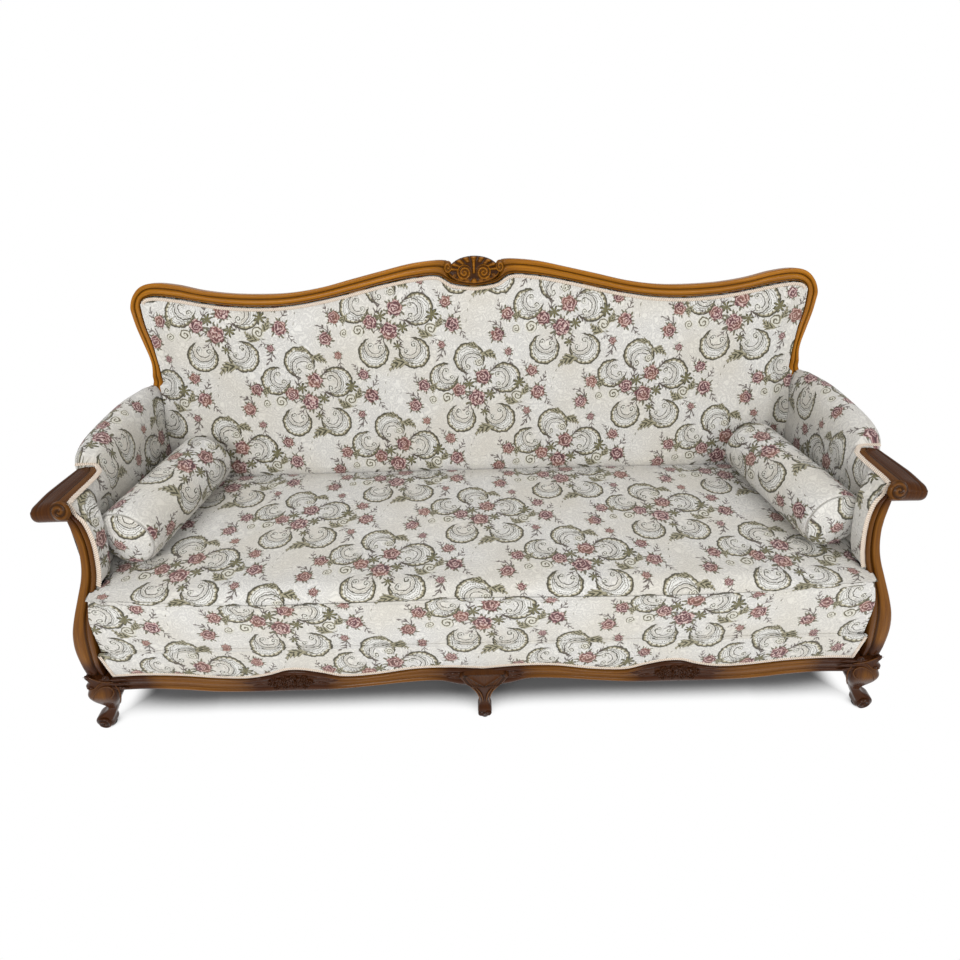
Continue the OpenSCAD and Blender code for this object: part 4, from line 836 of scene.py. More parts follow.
def woven(name, light, dark, threads, roughness=0.9):
    """A plain weave told by object coordinates, its threads counted to the metre."""
    material, node = new_material(name)
    where = node("TexCoord", out="Object")
    parts = node("SeparateXYZ", node("VectorMath:MULTIPLY", where, (threads,) * 3)).node.outputs
    warp = node("Math:SINE", parts[0])
    weft = node("Math:SINE", node("Math:ADD", parts[1], parts[2]))
    cross = node("Math:MULTIPLY", warp, weft)
    colour = node("Mix:RGBA", node("MapRange", cross, -0.6, 0.6, 0.0, 1.0), hexa(dark), hexa(light))
    relief = node("Bump", {"Height": cross, "Distance": 0.0005, "Strength": 0.5})
    shader = node("BsdfPrincipled", {"Base Color": colour, "Roughness": roughness, "Normal": relief})
    node("OutputMaterial", shader)
    return material


def drawn_steel():
    """Drawn spring wire: bright grey metal with a fine scratch along it."""
    material, node = new_material("Drawn spring steel")
    where = node("TexCoord", out="Object")
    scratch = node("TexNoise", {"Vector": where, "Scale": 400.0})
    rough = node("MapRange", scratch, 0.3, 0.7, 0.3, 0.5)
    shader = node("BsdfPrincipled", {"Base Color": hexa("9A9A9E"), "Metallic": 1.0, "Roughness": rough})
    node("OutputMaterial", shader)
    return material


def moulded_glide():
    """Moulded polypropylene glide, dark and slightly mottled."""
    material, node = new_material("Moulded polypropylene")
    where = node("TexCoord", out="Object")
    mottle = node("TexNoise", {"Vector": where, "Scale": 900.0})
    rough = node("MapRange", mottle, 0.3, 0.7, 0.45, 0.6)
    shader = node("BsdfPrincipled", {"Base Color": hexa("2E2E30"), "Roughness": rough, "IOR": 1.49})
    node("OutputMaterial", shader)
    return material


MAKERS = {
    "cloth": rose_jacquard,
    "walnut": carved_walnut,
    "frame wood": lambda: plain_wood("Planed beech", "B98F5E", "8C6238", 0.6),
    "stained wood": lambda: plain_wood("Stained beech", "6E4524", "452A16", 0.42),
    "gimp": gimp_braid,
    "jute": lambda: woven("Jute weave", "B99B6C", "7E6338", 1800.0),
    "dust cloth": lambda: woven("Black cambric", "302E2C", "1C1B1A", 2400.0),
    "steel": drawn_steel,
    "glide": moulded_glide,
}
SLOT_FINISH = {"amber_show_wood": "walnut", "dark_walnut": "walnut", "rose_jacquard": "cloth",
               "gimp_braid": "gimp"}
made = {}


def finish(name):
    """The material of a finish, made at its first use."""
    if name not in made:
        made[name] = MAKERS[name]()
    return made[name]


# Sizes and colours that a user would change


class SofaCamera(bpy.types.PropertyGroup):
    lens: bpy.props.FloatProperty(name="Lens", description="Focal length of the camera", default=23.34,
                                  unit="CAMERA")
    height: bpy.props.FloatProperty(name="Height", description="Height of the camera", default=1.4669,
                                    unit="LENGTH")
    away: bpy.props.FloatProperty(name="Distance", description="Distance in front of the middle",
                                  default=1.340, unit="LENGTH")
    aside: bpy.props.FloatProperty(name="Aside", description="Offset to the right", default=-0.00235,
                                   unit="LENGTH")
    pitch: bpy.props.FloatProperty(name="Pitch", description="Tilt below the horizon",
                                   default=math.radians(35.32), unit="ROTATION")
    yaw: bpy.props.FloatProperty(name="Yaw", description="Turn to the right", default=math.radians(0.2),
                                 unit="ROTATION")
    roll: bpy.props.FloatProperty(name="Roll", description="Turn about the view",
                                  default=math.radians(-1.315), unit="ROTATION")


class SofaDetail(bpy.types.PropertyGroup):
    crest_steps: bpy.props.IntProperty(name="Crest steps", description="Stations along the crest rail",
                                       default=360, min=60)
    cloth_steps: bpy.props.IntProperty(name="Cloth steps", description="Columns across the seat and back",
                                       default=170, min=40)
    gimp_loop: bpy.props.FloatProperty(name="Gimp loop", description="Length of one loop of the gimp",
                                       default=0.006, unit="LENGTH")


class SOFA_OT_stage(bpy.types.Operator):
    """Sets up the camera, the floor and the light"""
    bl_idname = "sofa.stage"
    bl_label = "Stage"

    def execute(self, context):
        scene = context.scene
        view = scene.sofa_camera
        scene.view_settings.view_transform = "Standard"
        cp, sp = math.cos(view.pitch), math.sin(view.pitch)
        cy, sy = math.cos(view.yaw), math.sin(view.yaw)
        ahead = Vector((sy * cp, cy * cp, -sp))
        right = Vector((cy, -sy, 0))
        up = right.cross(ahead)
        c, s = math.cos(view.roll), math.sin(view.roll)
        right, up = c * right + s * up, c * up - s * right
        bpy.ops.object.camera_add(location=(view.aside, -view.away, view.height))
        camera = context.object
        camera.name = "camera"
        turn = Matrix((right, up, -ahead)).transposed()
        camera.rotation_euler = turn.to_euler()
        camera.data.lens = view.lens
        camera.data.sensor_width = 36
        scene.camera = camera

        world = bpy.data.worlds.new("Soft daylight")
        scene.world = world
        world.use_nodes = True
        world.node_tree.nodes.clear()
        node = partial(add_node, world.node_tree)
        seen = node("LightPath").node.outputs
        dim = node("Background", {"Color": hexa("F6F7FA"), "Strength": 0.5})
        white = node("Background", {"Color": hexa("FFFFFF"), "Strength": 1.0})
        mixed = node("MixShader", seen["Is Camera Ray"], dim, white)
        node("OutputWorld", {"Surface": mixed})

        # The floor's colour holds a painted shadow: grey under the sofa, by ambient occlusion and by the
        # sofa's footprint. Outside it the floor glows white like the backdrop
        bpy.ops.mesh.primitive_plane_add(size=60.0, location=(0, 0, 0))
        floor = context.object
        floor.name = "floor"
        material, node = new_material("White floor with painted shadow")
        where = node("TexCoord", out="Object")
        away = node("VectorMath:LENGTH", where)
        far = node("MapRange", away, 1.15, 1.9, interpolation_type="SMOOTHSTEP")
        out_of_painted_shadow = node("AmbientOcclusion", {"Distance": 0.24}, samples=32, out="AO")
        parts = node("SeparateXYZ", node("VectorMath:ABSOLUTE", where)).node.outputs
        aside = node("Math:MAXIMUM", node("Math:SUBTRACT", parts[0], 0.66), parts[1])
        out_of_painted_shadow = node("Math:MULTIPLY_ADD", out_of_painted_shadow, 0.16, aside)
        out_of_painted_shadow = node("MapRange", out_of_painted_shadow, 0.336, 0.426, 0.0, 1.0, interpolation_type="SMOOTHSTEP")
        far = node("Math:MAXIMUM", far, out_of_painted_shadow)
        # Painted shadow: the floor's grey colour in the shade under the sofa
        near = node("BsdfPrincipled",
                    {"Base Color": hexa("6E6E6E"), "Roughness": 0.9, "Specular IOR Level": 0.1})
        glow = node("Emission", {"Color": hexa("FFFFFF"), "Strength": 1.0})
        node("OutputMaterial", node("MixShader", far, near, glow))
        floor.data.materials.append(material)

        lamps = [("key", (-1.3, -3.0, 2.5), 1.5, 76.0), ("fill", (1.9, -2.6, 2.2), 1.5, 46.0),
                 ("top", (0.0, 0.9, 3.2), 2.4, 26.0)]
        for name, place, size, power in lamps:
            bpy.ops.object.light_add(type="AREA", location=place)
            lamp = context.object
            lamp.name = name
            lamp.data.size = size
            lamp.data.energy = power
            aim = Vector((0, 0, 0.4)) - Vector(place)
            lamp.rotation_euler = aim.to_track_quat("-Z", "Y").to_euler()
        return {"FINISHED"}


# Show wood

CREST_SECTION = Outline([(0, -1), (0.5, -1), (1, -1), (1, -0.6), (1, -0.22), (0.985, -0.08), (0.94, -0.01),
                         (0.86, 0), (0.76, -0.02), (0.67, -0.08), (0.615, -0.19), (0.575, -0.15),
                         (0.50, -0.07), (0.38, -0.04), (0.25, -0.06), (0.16, -0.12), (0.125, -0.23),
                         (0.085, -0.24), (0.05, -0.17), (0.0, -0.22), (0, -0.45)], scale=(1.4, 1))
GROOVES = ((0.615, 0.05), (0.125, 0.045))


# The crest's grooves, darkened as painted shade here and on the rear posts
def crest_groove(w, d):
    return sum(bump(w, place, width) for place, width in GROOVES) * (d > -0.5)


class SOFA_OT_crest(bpy.types.Operator):
    """Models the crest rail, its rolled ends and the shell carving"""
    bl_idname = "sofa.crest"
    bl_label = "Crest"

    def execute(self, context):
        def place(u, v):
            station = (2 * v - 1) * CREST_LAST
            w, d = CREST_SECTION(u)
            side = np.sign(station)
            xo, uo = crest_edge(station, False)
            xi, ui = crest_edge(station, True)
            middle = ease((1.55 - np.abs(station)) / 0.55) * ease((w - 0.20) / 0.12)
            uo = uo - BACK_L * 0.034 * ease((1.35 - np.abs(station)) / 0.5)
            d = d - 0.5 * (1 + d) * middle
            return on_back(side * lerp(xi, xo, w), d * CREST_T, lerp(ui, uo, w))

        rail = grid_piece("crest_rail_wood", 72, context.scene.sofa_detail.crest_steps, place, closed=True,
                          capped=True,
                          pattern=lambda u, v: ((v - 0.5) * 2.1, u * 0.17),
                          groove=lambda u, v: crest_groove(*CREST_SECTION(u)),
                          stain=lambda u, v: 0.45 * ease((2.6 - np.abs(2 * v - 1) * CREST_LAST) / 1.2))
        dress(rail, "amber_show_wood", ["crest_rail"])

        def roll(side, name):
            mid_x, mid_up = side * 0.0690, BACK_L * 0.953
            face = Face(on_back(mid_x, 0.001, mid_up), (side * 1.0, 0, 0.10),
                        (0, math.sin(LEAN), math.cos(LEAN)))

            def place(u, v):
                angle = u * TAU
                wind = 0.5 + 0.5 * np.cos(TAU * 1.6 * v + angle)
                rise = 0.60 * np.sqrt(np.clip(1 - v**2, 0, 1)) + 0.40 * wind * ease((1 - v) / 0.15)
                return face(0.0115 * v * np.cos(angle), 0.0160 * v * np.sin(angle),
                            0.011 * rise - 0.003 * ease((v - 0.9) / 0.1))

            # groove marks the rolls' spiral cut for painted shade
            return grid_piece(f"crest_roll_{name}", 40, 22, place, closed=True, capped=True, smooth=80,
                              pattern=lambda u, v: (v * 0.02, u * 0.05),
                              groove=lambda u, v: 0.8 * (0.5 - 0.5 * np.cos(TAU * (1.6 * v + u)))
                                  * ease((1 - v) / 0.1),
                              stain=0.2)

        dress(joined("crest_rolls", sides(roll)), "dark_walnut")
        dress(self.shell(), "dark_walnut", ["crest_cartouche"])
        return {"FINISHED"}

    def shell(self):
        half_w, top_h, foot_h, middle = 0.068, 0.0385, 0.0318, BACK_L - 0.0385

        def height(x, y):
            wide = np.sqrt((x / half_w) ** 2 + (np.maximum(y, 0) / top_h) ** 2)
            angle = np.arctan2(np.maximum(y, 0) / top_h, x / half_w)
            band = ease((wide - 0.58) / 0.1) * ease((1.0 - wide) / 0.06) * (y > -0.004)
            rise = (band * (0.5 + 0.5 * np.cos(18 * angle - np.pi))
                    * (0.0045 + 0.0035 * bump(wide, 0.88, 0.06)))
            for side in (-1, 1):
                cx, cy, r0 = side * 0.0255, -0.003, 0.0205
                r = np.hypot(x - cx, y - cy) / r0
                turn = np.arctan2(y - cy, side * (x - cx))
                inside = ease((1.05 - r) / 0.15)
                rise = rise + inside * (0.0045 * (1 - 0.45 * r) + 0.0022 * np.cos(TAU * 2.3 * r - turn))
                for lx, ly, lr in ((0.018, -0.0235, 0.008), (0.036, -0.018, 0.009), (0.052, -0.010, 0.007)):
                    q = np.hypot(x - side * lx, (y - ly) * 1.3) / lr
                    rise = rise + 0.0045 * ease((1 - q) / 0.7) * (0.75 + 0.25 * np.cos(9 * q))
            rise = (rise
                    + 0.006 * ease((0.0045 - np.abs(x)) / 0.003) * ease((y + 0.008) / 0.006)
                    * ease((0.031 - y) / 0.004))
            rise = rise + 0.0055 * ease((0.009 - np.hypot(x, y + 0.0245)) / 0.006)
            rim = -foot_h * np.sqrt(np.clip(1 - (x / half_w) ** 2, 0, 1))
            rise = rise + 0.0035 * bump(y - rim, 0.0035, 0.0028) * (y < 0.006)
            return rise

        def spot(u, v):
            x = half_w * np.sin((u - 0.5) * np.pi)
            bow = np.sqrt(np.clip(1 - (x / half_w) ** 2, 0, 1))
            return x, lerp(-foot_h * bow, top_h * bow, v)

        def place(u, v):
            x, y = spot(u, v)
            edge = np.minimum(np.minimum(v, 1 - v), np.minimum(u, 1 - u)) * 2
            crown = 0.006 * np.sqrt(np.clip(1 - (x / half_w) ** 2 * 0.8 - (y / 0.05) ** 2 * 0.5, 0, 1))
            return on_back(x,
                           -0.004 + height(x, y) * ease(edge / 0.04) + crown
                               - 0.014 * ease((0.02 - edge) / 0.02), middle + y)

        # Painted shade: the shell's low parts are coloured darker
        def hollow(u, v):
            x, y = spot(u, v)
            h = height(x, y)
            return np.clip(1.0 - h / 0.0038, 0, 1) * 0.6

        # Painted highlight: the shell's high relief gets a lighter stain
        return grid_piece("crest_shell", 150, 90, place, capped=True, smooth=60,
                          pattern=lambda u, v: (u * 0.15, v * 0.08), groove=hollow,
                          stain=lambda u, v: np.clip(0.95 - height(*spot(u, v)) / 0.0075, 0.05, 1))


RAIL_SECTION = Outline([(0, 0.30), (0.03, 0.06), (0.12, 0.0), (0.24, 0.02), (0.29, 0.12), (0.34, 0.17),
                        (0.45, 0.14), (0.60, 0.09), (0.72, 0.10), (0.77, 0.17), (0.81, 0.06), (0.90, 0.0),
                        (0.98, 0.08), (1, 0.30), (1, 1), (0.5, 1), (0, 1)], scale=(2, 1))


class SOFA_OT_front_rail(bpy.types.Operator):
    """Models the serpentine front rail with its flower sprays and the tablet in its middle"""
    bl_idname = "sofa.front_rail"
    bl_label = "Front rail"

    def execute(self, context):
        end = RAIL_HALF - FIT

        def place(u, v):
            x = end * (2 * v - 1)
            h, d = RAIL_SECTION(u)
            return at(x, d * RAIL_T, lerp(rail_foot(x), rail_top(x), h))

        def stain(u, v):
            x = np.abs(end * (2 * v - 1))
            patch = 0.60 * ease((x - 0.78) / 0.10) + 0.9 * bump(x, 0.485, 0.10) + 0.9 * bump(x, 0, 0.10)
            return np.clip(0.58 + patch, 0, 1)

        # groove marks the rail's two grooves and its top edge under the apron for painted shade
        rail = grid_piece("front_rail_wood", 60, 300, place, closed=True, capped=True,
                          pattern=lambda u, v: (v * 1.85, u * 0.16),
                          groove=lambda u, v: (0.5 * bump(RAIL_SECTION(u)[0], 0.31, 0.03)
                                               + 0.6 * bump(RAIL_SECTION(u)[0], 0.765, 0.03)
                                               + 0.5 * bump(RAIL_SECTION(u)[0], 1, 0.04))
                              * (RAIL_SECTION(u)[1] < 0.5),
                          stain=stain)
        dress(rail, "amber_show_wood", ["front_rail"])
        sides(self.spray)
        self.tablet()
        return {"FINISHED"}

    def spray(self, side, name):
        x0 = side * HALF * 0.476
        z0 = float(lerp(rail_foot(x0), rail_top(x0), 0.52))

        def face(x, z, turn=0.0):
            return front_face(side, x0 + side * x, 0.0035, z0 + z, turn)

        parts = []
        blooms = [(0, 0.004, 0.0150, 0), (-0.026, 0.002, 0.0130, 1.2), (0.026, 0.001, 0.0130, 2.3),
                  (-0.013, -0.015, 0.0100, 0.7), (0.013, -0.016, 0.0100, 1.9), (-0.012, 0.019, 0.0090, 0.4),
                  (0.013, 0.019, 0.0090, 2.8), (-0.046, -0.003, 0.0105, 1.6), (0.046, -0.004, 0.0105, 0.9),
                  (-0.036, -0.017, 0.0080, 2.2), (0.036, -0.018, 0.0080, 0.3), (-0.038, 0.015, 0.0080, 1.1),
                  (0.038, 0.014, 0.0080, 2.5)]
        for k, (x, z, r, turn) in enumerate(blooms):
            parts.append(rosette(f"bloom_{name}_{k}", face(x, z), r, 0.0100, turn))
        leaves = [(0.050, 0.005, 4, 0.052, 0.016, 0.02), (0.052, -0.010, -5, 0.046, 0.015, -0.02),
                  (0.084, -0.002, 0, 0.040, 0.014, 0.05), (-0.050, 0.005, 176, 0.052, 0.016, -0.02),
                  (-0.052, -0.010, 185, 0.046, 0.015, 0.02), (-0.084, -0.002, 180, 0.040, 0.014, -0.05)]
        for k, (x, z, turn, length, width, bend) in enumerate(leaves):
            parts.append(leaf(f"leaf_{name}_{k}", face(x, z, turn), length, width, 0.0045, bend, lobes=5))
        spray = joined(f"rail_spray_{name}", parts)
        dress(spray, "dark_walnut", [f"rail_cartouche_{name}"])

    def tablet(self):
        lo, hi = float(rail_foot(0)), float(rail_top(0))
        wide = HALF * 0.062

        def half(t):
            return wide * np.interp(t, [0, 0.3, 0.72, 0.9, 1], [0.5, 0.78, 1.0, 0.90, 0.72])

        def place(u, v):
            w = 2 * u - 1
            edge = np.minimum(1 - np.abs(w), np.minimum(v, 1 - v) * 1.6)
            inner = np.abs(w) * half(v) / wide + (0.78 - v) * 0.9
            triangle = ease((0.62 - inner) / 0.08) * ease((0.80 - v) / 0.06)
            ridge = 0.0022 * bump(edge, 0.10, 0.05) + 0.0026 * bump(0.62 - inner, 0.0, 0.06) * (v < 0.86)
            flutes = 0.0012 * np.cos(14 * np.pi * w) * ease((inner - 0.66) / 0.1) * ease(edge / 0.2)
            rise = 0.0075 * ease(edge / 0.09) + ridge + flutes - 0.0015 * triangle
            return at(half(v) * w, -rise + 0.004 * ease((0.03 - edge) / 0.03),
                      lerp(lo + 0.001, hi + 0.001, v))

        # Painted shade in the tablet's grooves
        def hollow(u, v):
            w = 2 * u - 1
            inner = np.abs(w) * half(v) / wide + (0.78 - v) * 0.9
            edge = np.minimum(1 - np.abs(w), np.minimum(v, 1 - v) * 1.6)
            return bump(edge, 0.2, 0.05) + bump(inner, 0.70, 0.05)

        plate = grid_piece("tablet_plate", 80, 50, place, capped=True, smooth=60,
                           pattern=lambda u, v: (v * 0.06, u * 0.12), groove=hollow, stain=0.95)
        parts = [plate]
        for side, name in SIDES:
            for k, (x, z, turn, length, width, bend) in enumerate([
                    (0.052, 0.040, 8, 0.050, 0.016, -0.05), (0.052, 0.030, 2, 0.042, 0.013, 0.06)]):
                face = front_face(side, side * x, 0.002, lo + z, turn)
                parts.append(leaf(f"tablet_leaf_{name}_{k}", face, length, width, 0.0045, bend))
        dress(joined("rail_tablet", parts), "dark_walnut", ["rail_cartouche_centre"])


class SOFA_OT_rear_posts(bpy.types.Operator):
    """Models the rear posts: raked legs below, moulded stiles above the arms"""
    bl_idname = "sofa.rear_posts"
    bl_label = "Rear posts"

    def execute(self, context):
        sides(self.post)
        return {"FINISHED"}

    def post(self, side, name):
        low_share = 0.42
        foot = 0.004

        def place(u, v):
            w, d = CREST_SECTION(u)
            t = np.clip(v / low_share, 0, 1)
            z = lerp(foot, BACK_Z, t)
            share = np.clip(z / BACK_Z, 0, 1)
            depth = -d
            low = at(side * lerp(HALF * curve(POST_LOW, share, 1), HALF * curve(POST_LOW, share, 2), w),
                     BACK_Y - Y_FRONT + DEPTH * curve(POST_LOW, share, 3)
                         + POST_T * ease((depth - 0.02) / 0.96) ** 0.7, z)
            h = np.clip((v - low_share) / (1 - low_share), 0, 1)
            up = h * BACK_L * 0.76
            face = -(PAD_IN + FIT) * (1 - ease((up / BACK_L - ARM_LAP[0]) / (ARM_LAP[1] - ARM_LAP[0])))
            off = lerp(face, -CREST_T, np.clip(depth, 0, 1))
            high = on_back(side * lerp(HALF * curve(POST_HIGH, up / BACK_L, 1),
                                       HALF * curve(POST_HIGH, up / BACK_L, 2), w), off, up)
            mix = ease((v - low_share + 0.03) / 0.06)[:, None]
            return low * (1 - mix) + high * mix

        post = grid_piece(f"rear_post_{name}_wood", 64, 120, place, closed=True, capped=True,
                          pattern=lambda u, v: (v * 1.0, u * 0.16),
                          groove=lambda u, v: crest_groove(*CREST_SECTION(u)) * (v > 0.55),
                          stain=lambda u, v: 0.75 * ease((0.60 - v) / 0.15))
        dress(post, "amber_show_wood", [f"rear_post_{name}"])


ROUND_SQUARE = Outline([(-1, -1), (0, -1), (1, -1), (1, 0), (1, 1), (0, 1), (-1, 1), (-1, 0)], rounds=3)


class SOFA_OT_legs(bpy.types.Operator):
    """Models the scrolled front legs, the centre leg and the plain rear centre leg"""
    bl_idname = "sofa.legs"
    bl_label = "Legs"

    def execute(self, context):
        sides(self.front_leg)
        self.centre_leg()
        self.rear_leg()
        return {"FINISHED"}

    def front_leg(self, side, name):
        back_share = stump_back(RAIL_Z) / (DEPTH * LEG[-1][4])

        def place(u, v):
            z = lerp(LEG[0][0], 1.0, v)
            a, b = ROUND_SQUARE(u)
            x0, x1 = HALF * curve(LEG, z, 1), HALF * curve(LEG, z, 2)
            s0, s1 = DEPTH * curve(LEG, z, 3), DEPTH * curve(LEG, z, 4) * back_share
            square = ease((z - 0.80) / 0.15)
            sharp = lerp(1.0, 1.06, square)
            a, b = np.clip(a * sharp, -1, 1), np.clip(b * sharp, -1, 1)
            facing = ease((-b - 0.2) / 0.5)
            belly = 0.0035 * bump(z, 0.72, 0.13) * facing * bump(a, 0.1, 0.8)
            return at(side * lerp(x0, x1, (a + 1) / 2), lerp(s0, s1, (b + 1) / 2) - belly, RAIL_Z * z)

        # Painted highlight: the knee's belly is stained lighter on its front
        def stain(u, v):
            z = lerp(LEG[0][0], 1.0, v)
            a, b = ROUND_SQUARE(u)
            return 1.0 - 0.30 * bump(z, 0.73, 0.11) * bump(a, 0.1, 0.6) * ease(-b)

        leg = grid_piece(f"leg_body_{name}", 72, 110, place, closed=True, capped=True, smooth=50,
                         pattern=lambda u, v: (v * 0.2, u * 0.22), groove=0.0, stain=stain)
        parts = [leg]

        def face(x, s, z, turn):
            return front_face(side, side * x, s, z, turn)

        # Toe scroll, knee ears, and the lines and leaves that flow over the knee on to the rail's end
        parts.append(volute(f"toe_{name}", face(0.9950, -0.0070, 0.0240, 0), 0.0185, 0.0060, 1.7, side))
        parts.append(volute(f"swirl_{name}", face(0.9320, -0.0005, 0.1985, 0), 0.0085, 0.0050, 1.3, side))
        ears = [(0.972, 0.002, 0.197, 24, 0.015, 0.009, 0.006),
                (0.972, -0.003, 0.166, 14, 0.012, 0.008, 0.006)]
        for k, (x, s, z, turn, length, width, depth) in enumerate(ears):
            parts.append(leaf(f"ear_{name}_{k}", face(x, s, z, turn), length, width, depth, 0.1, lobes=1))
        lines = [[(0.990, 0.202), (0.972, 0.199), (0.957, 0.188), (0.944, 0.182), (0.925, 0.183),
                  (0.905, 0.176)],
                 [(0.984, 0.125), (0.983, 0.136), (0.972, 0.153), (0.952, 0.170), (0.930, 0.170),
                  (0.921, 0.155), (0.933, 0.138), (0.944, 0.131)],
                 [(0.990, 0.166), (0.980, 0.161), (0.970, 0.164), (0.958, 0.176), (0.948, 0.181)],
                 [(0.921, 0.178), (0.912, 0.168), (0.909, 0.150), (0.914, 0.130), (0.926, 0.105)]]
        for k, line in enumerate(lines):
            high = [z for x, z in line]
            ahead = [Y_FRONT + float(DEPTH * curve(LEG, z / RAIL_Z, 3))
                     - 0.0035 * math.exp(-((z / RAIL_Z - 0.72) / 0.13) ** 2)
                     for z in high]
            path = [(side * x, y - 0.0008, z) for (x, z), y in zip(line, ahead)]
            # Painted highlight: the carved lines are stained lighter than the leg
            parts.append(bead(f"line_{name}_{k}", path, (0, -1, 0), 0.0021, stain=0.85))
        leaves = [(0.930, -0.003, 0.178, 182, 0.050, 0.011, -0.04, 0.0040),
                  (0.928, -0.001, 0.190, 176, 0.046, 0.010, 0.04, 0.0035),
                  (0.930, -0.004, 0.166, 188, 0.044, 0.010, -0.06, 0.0040)]
        for k, (x, s, z, turn, length, width, bend, depth) in enumerate(leaves):
            parts.append(leaf(f"knee_leaf_{name}_{k}", face(x, s, z, turn), length, width, depth, bend))
        dress(joined(f"front_leg_{name}_carved", parts), "dark_walnut",
              [f"front_leg_{name}"])

    def centre_leg(self):
        tall = (min(float(rail_foot(HALF * 0.05 * i / 6)) for i in range(7)) - FIT) / (RAIL_Z * 0.66)

        def place(u, v):
            z = lerp(CENTRE_LEG[0][0], CENTRE_LEG[-1][0], v)
            a, b = ROUND_SQUARE(u)
            half = HALF * curve(CENTRE_LEG, z, 1) * (1 - 0.12 * bump(z, 0.30, 0.10))
            s0, s1 = DEPTH * curve(CENTRE_LEG, z, 2), DEPTH * curve(CENTRE_LEG, z, 3)
            facing = ease((-b - 0.3) / 0.4)
            flutes = 0.0007 * np.cos(9 * a) * facing * ease((z - 0.30) / 0.08)
            return at(half * a, lerp(s0, s1, (b + 1) / 2) - flutes,
                      RAIL_Z * z * np.where(z > 0.1, tall, 1.0))

        # groove marks the flutes for painted shade
        leg = grid_piece("centre_leg_body", 56, 80, place, closed=True, capped=True, smooth=50,
                         pattern=lambda u, v: (v * 0.13, u * 0.2),
                         groove=lambda u, v: 0.2 * (0.5 - 0.5 * np.cos(9 * ROUND_SQUARE(u)[0]))
                             * ease((v - 0.4) / 0.1)
                             * (ROUND_SQUARE(u)[1] < 0), stain=1.0)
        parts = [leg]
        for side, name in SIDES:
            face = Face((side * 0.0088, Y_FRONT - 0.0078, 0.027), (1, 0, 0), (0, 0, 1))
            parts.append(volute(f"centre_toe_{name}", face, 0.0092, 0.0050, 1.5, side))
            for k, line in enumerate([[(0.054, 0.140), (0.040, 0.127), (0.026, 0.108), (0.018, 0.088),
                                       (0.0145, 0.060)],
                                      [(0.030, 0.126), (0.016, 0.108), (0.008, 0.088), (0.005, 0.062)]]):
                path = [(side * x * 0.76, Y_FRONT - 0.0002 - 0.003 * (z > 0.12), z) for x, z in line]
                # Painted highlight: the carved lines are stained lighter than the leg
                parts.append(bead(f"centre_line_{name}_{k}", path, (0, -1, 0), 0.0016, stain=0.70))
        dress(joined("front_centre_leg_carved", parts), "dark_walnut",
              ["front_centre_leg"])

    def rear_leg(self):
        lo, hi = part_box("rear_centre_leg")

        def place(u, v):
            a, b = ROUND_SQUARE(u)
            w, d = lerp(0.014, 0.020, v), lerp(0.0112, 0.016, v)
            s = lerp(hi[1] - 0.0112, lo[1] + 0.016, v)
            return stack(a * w, s + b * d, lerp(lo[2], hi[2], v))

        leg = grid_piece("rear_centre_leg_wood", 32, 12, place, closed=True, capped=True,
                         pattern=lambda u, v: (v * 0.15, u * 0.12), groove=0.0, stain=0.9)
        dress(leg, "dark_walnut", ["rear_centre_leg"])


STUMP_SECTION = Outline([(0, 0.5), (0, 0.12), (0.02, 0.03), (0.10, 0.0), (0.26, 0.03), (0.33, 0.11),
                         (0.40, 0.14), (0.46, 0.05), (0.55, 0.0), (0.74, 0.01), (0.90, 0.02), (0.98, 0.06),
                         (1, 0.14), (1, 0.4), (1, 1), (0.5, 1), (0, 1)], scale=(1.2, 1))


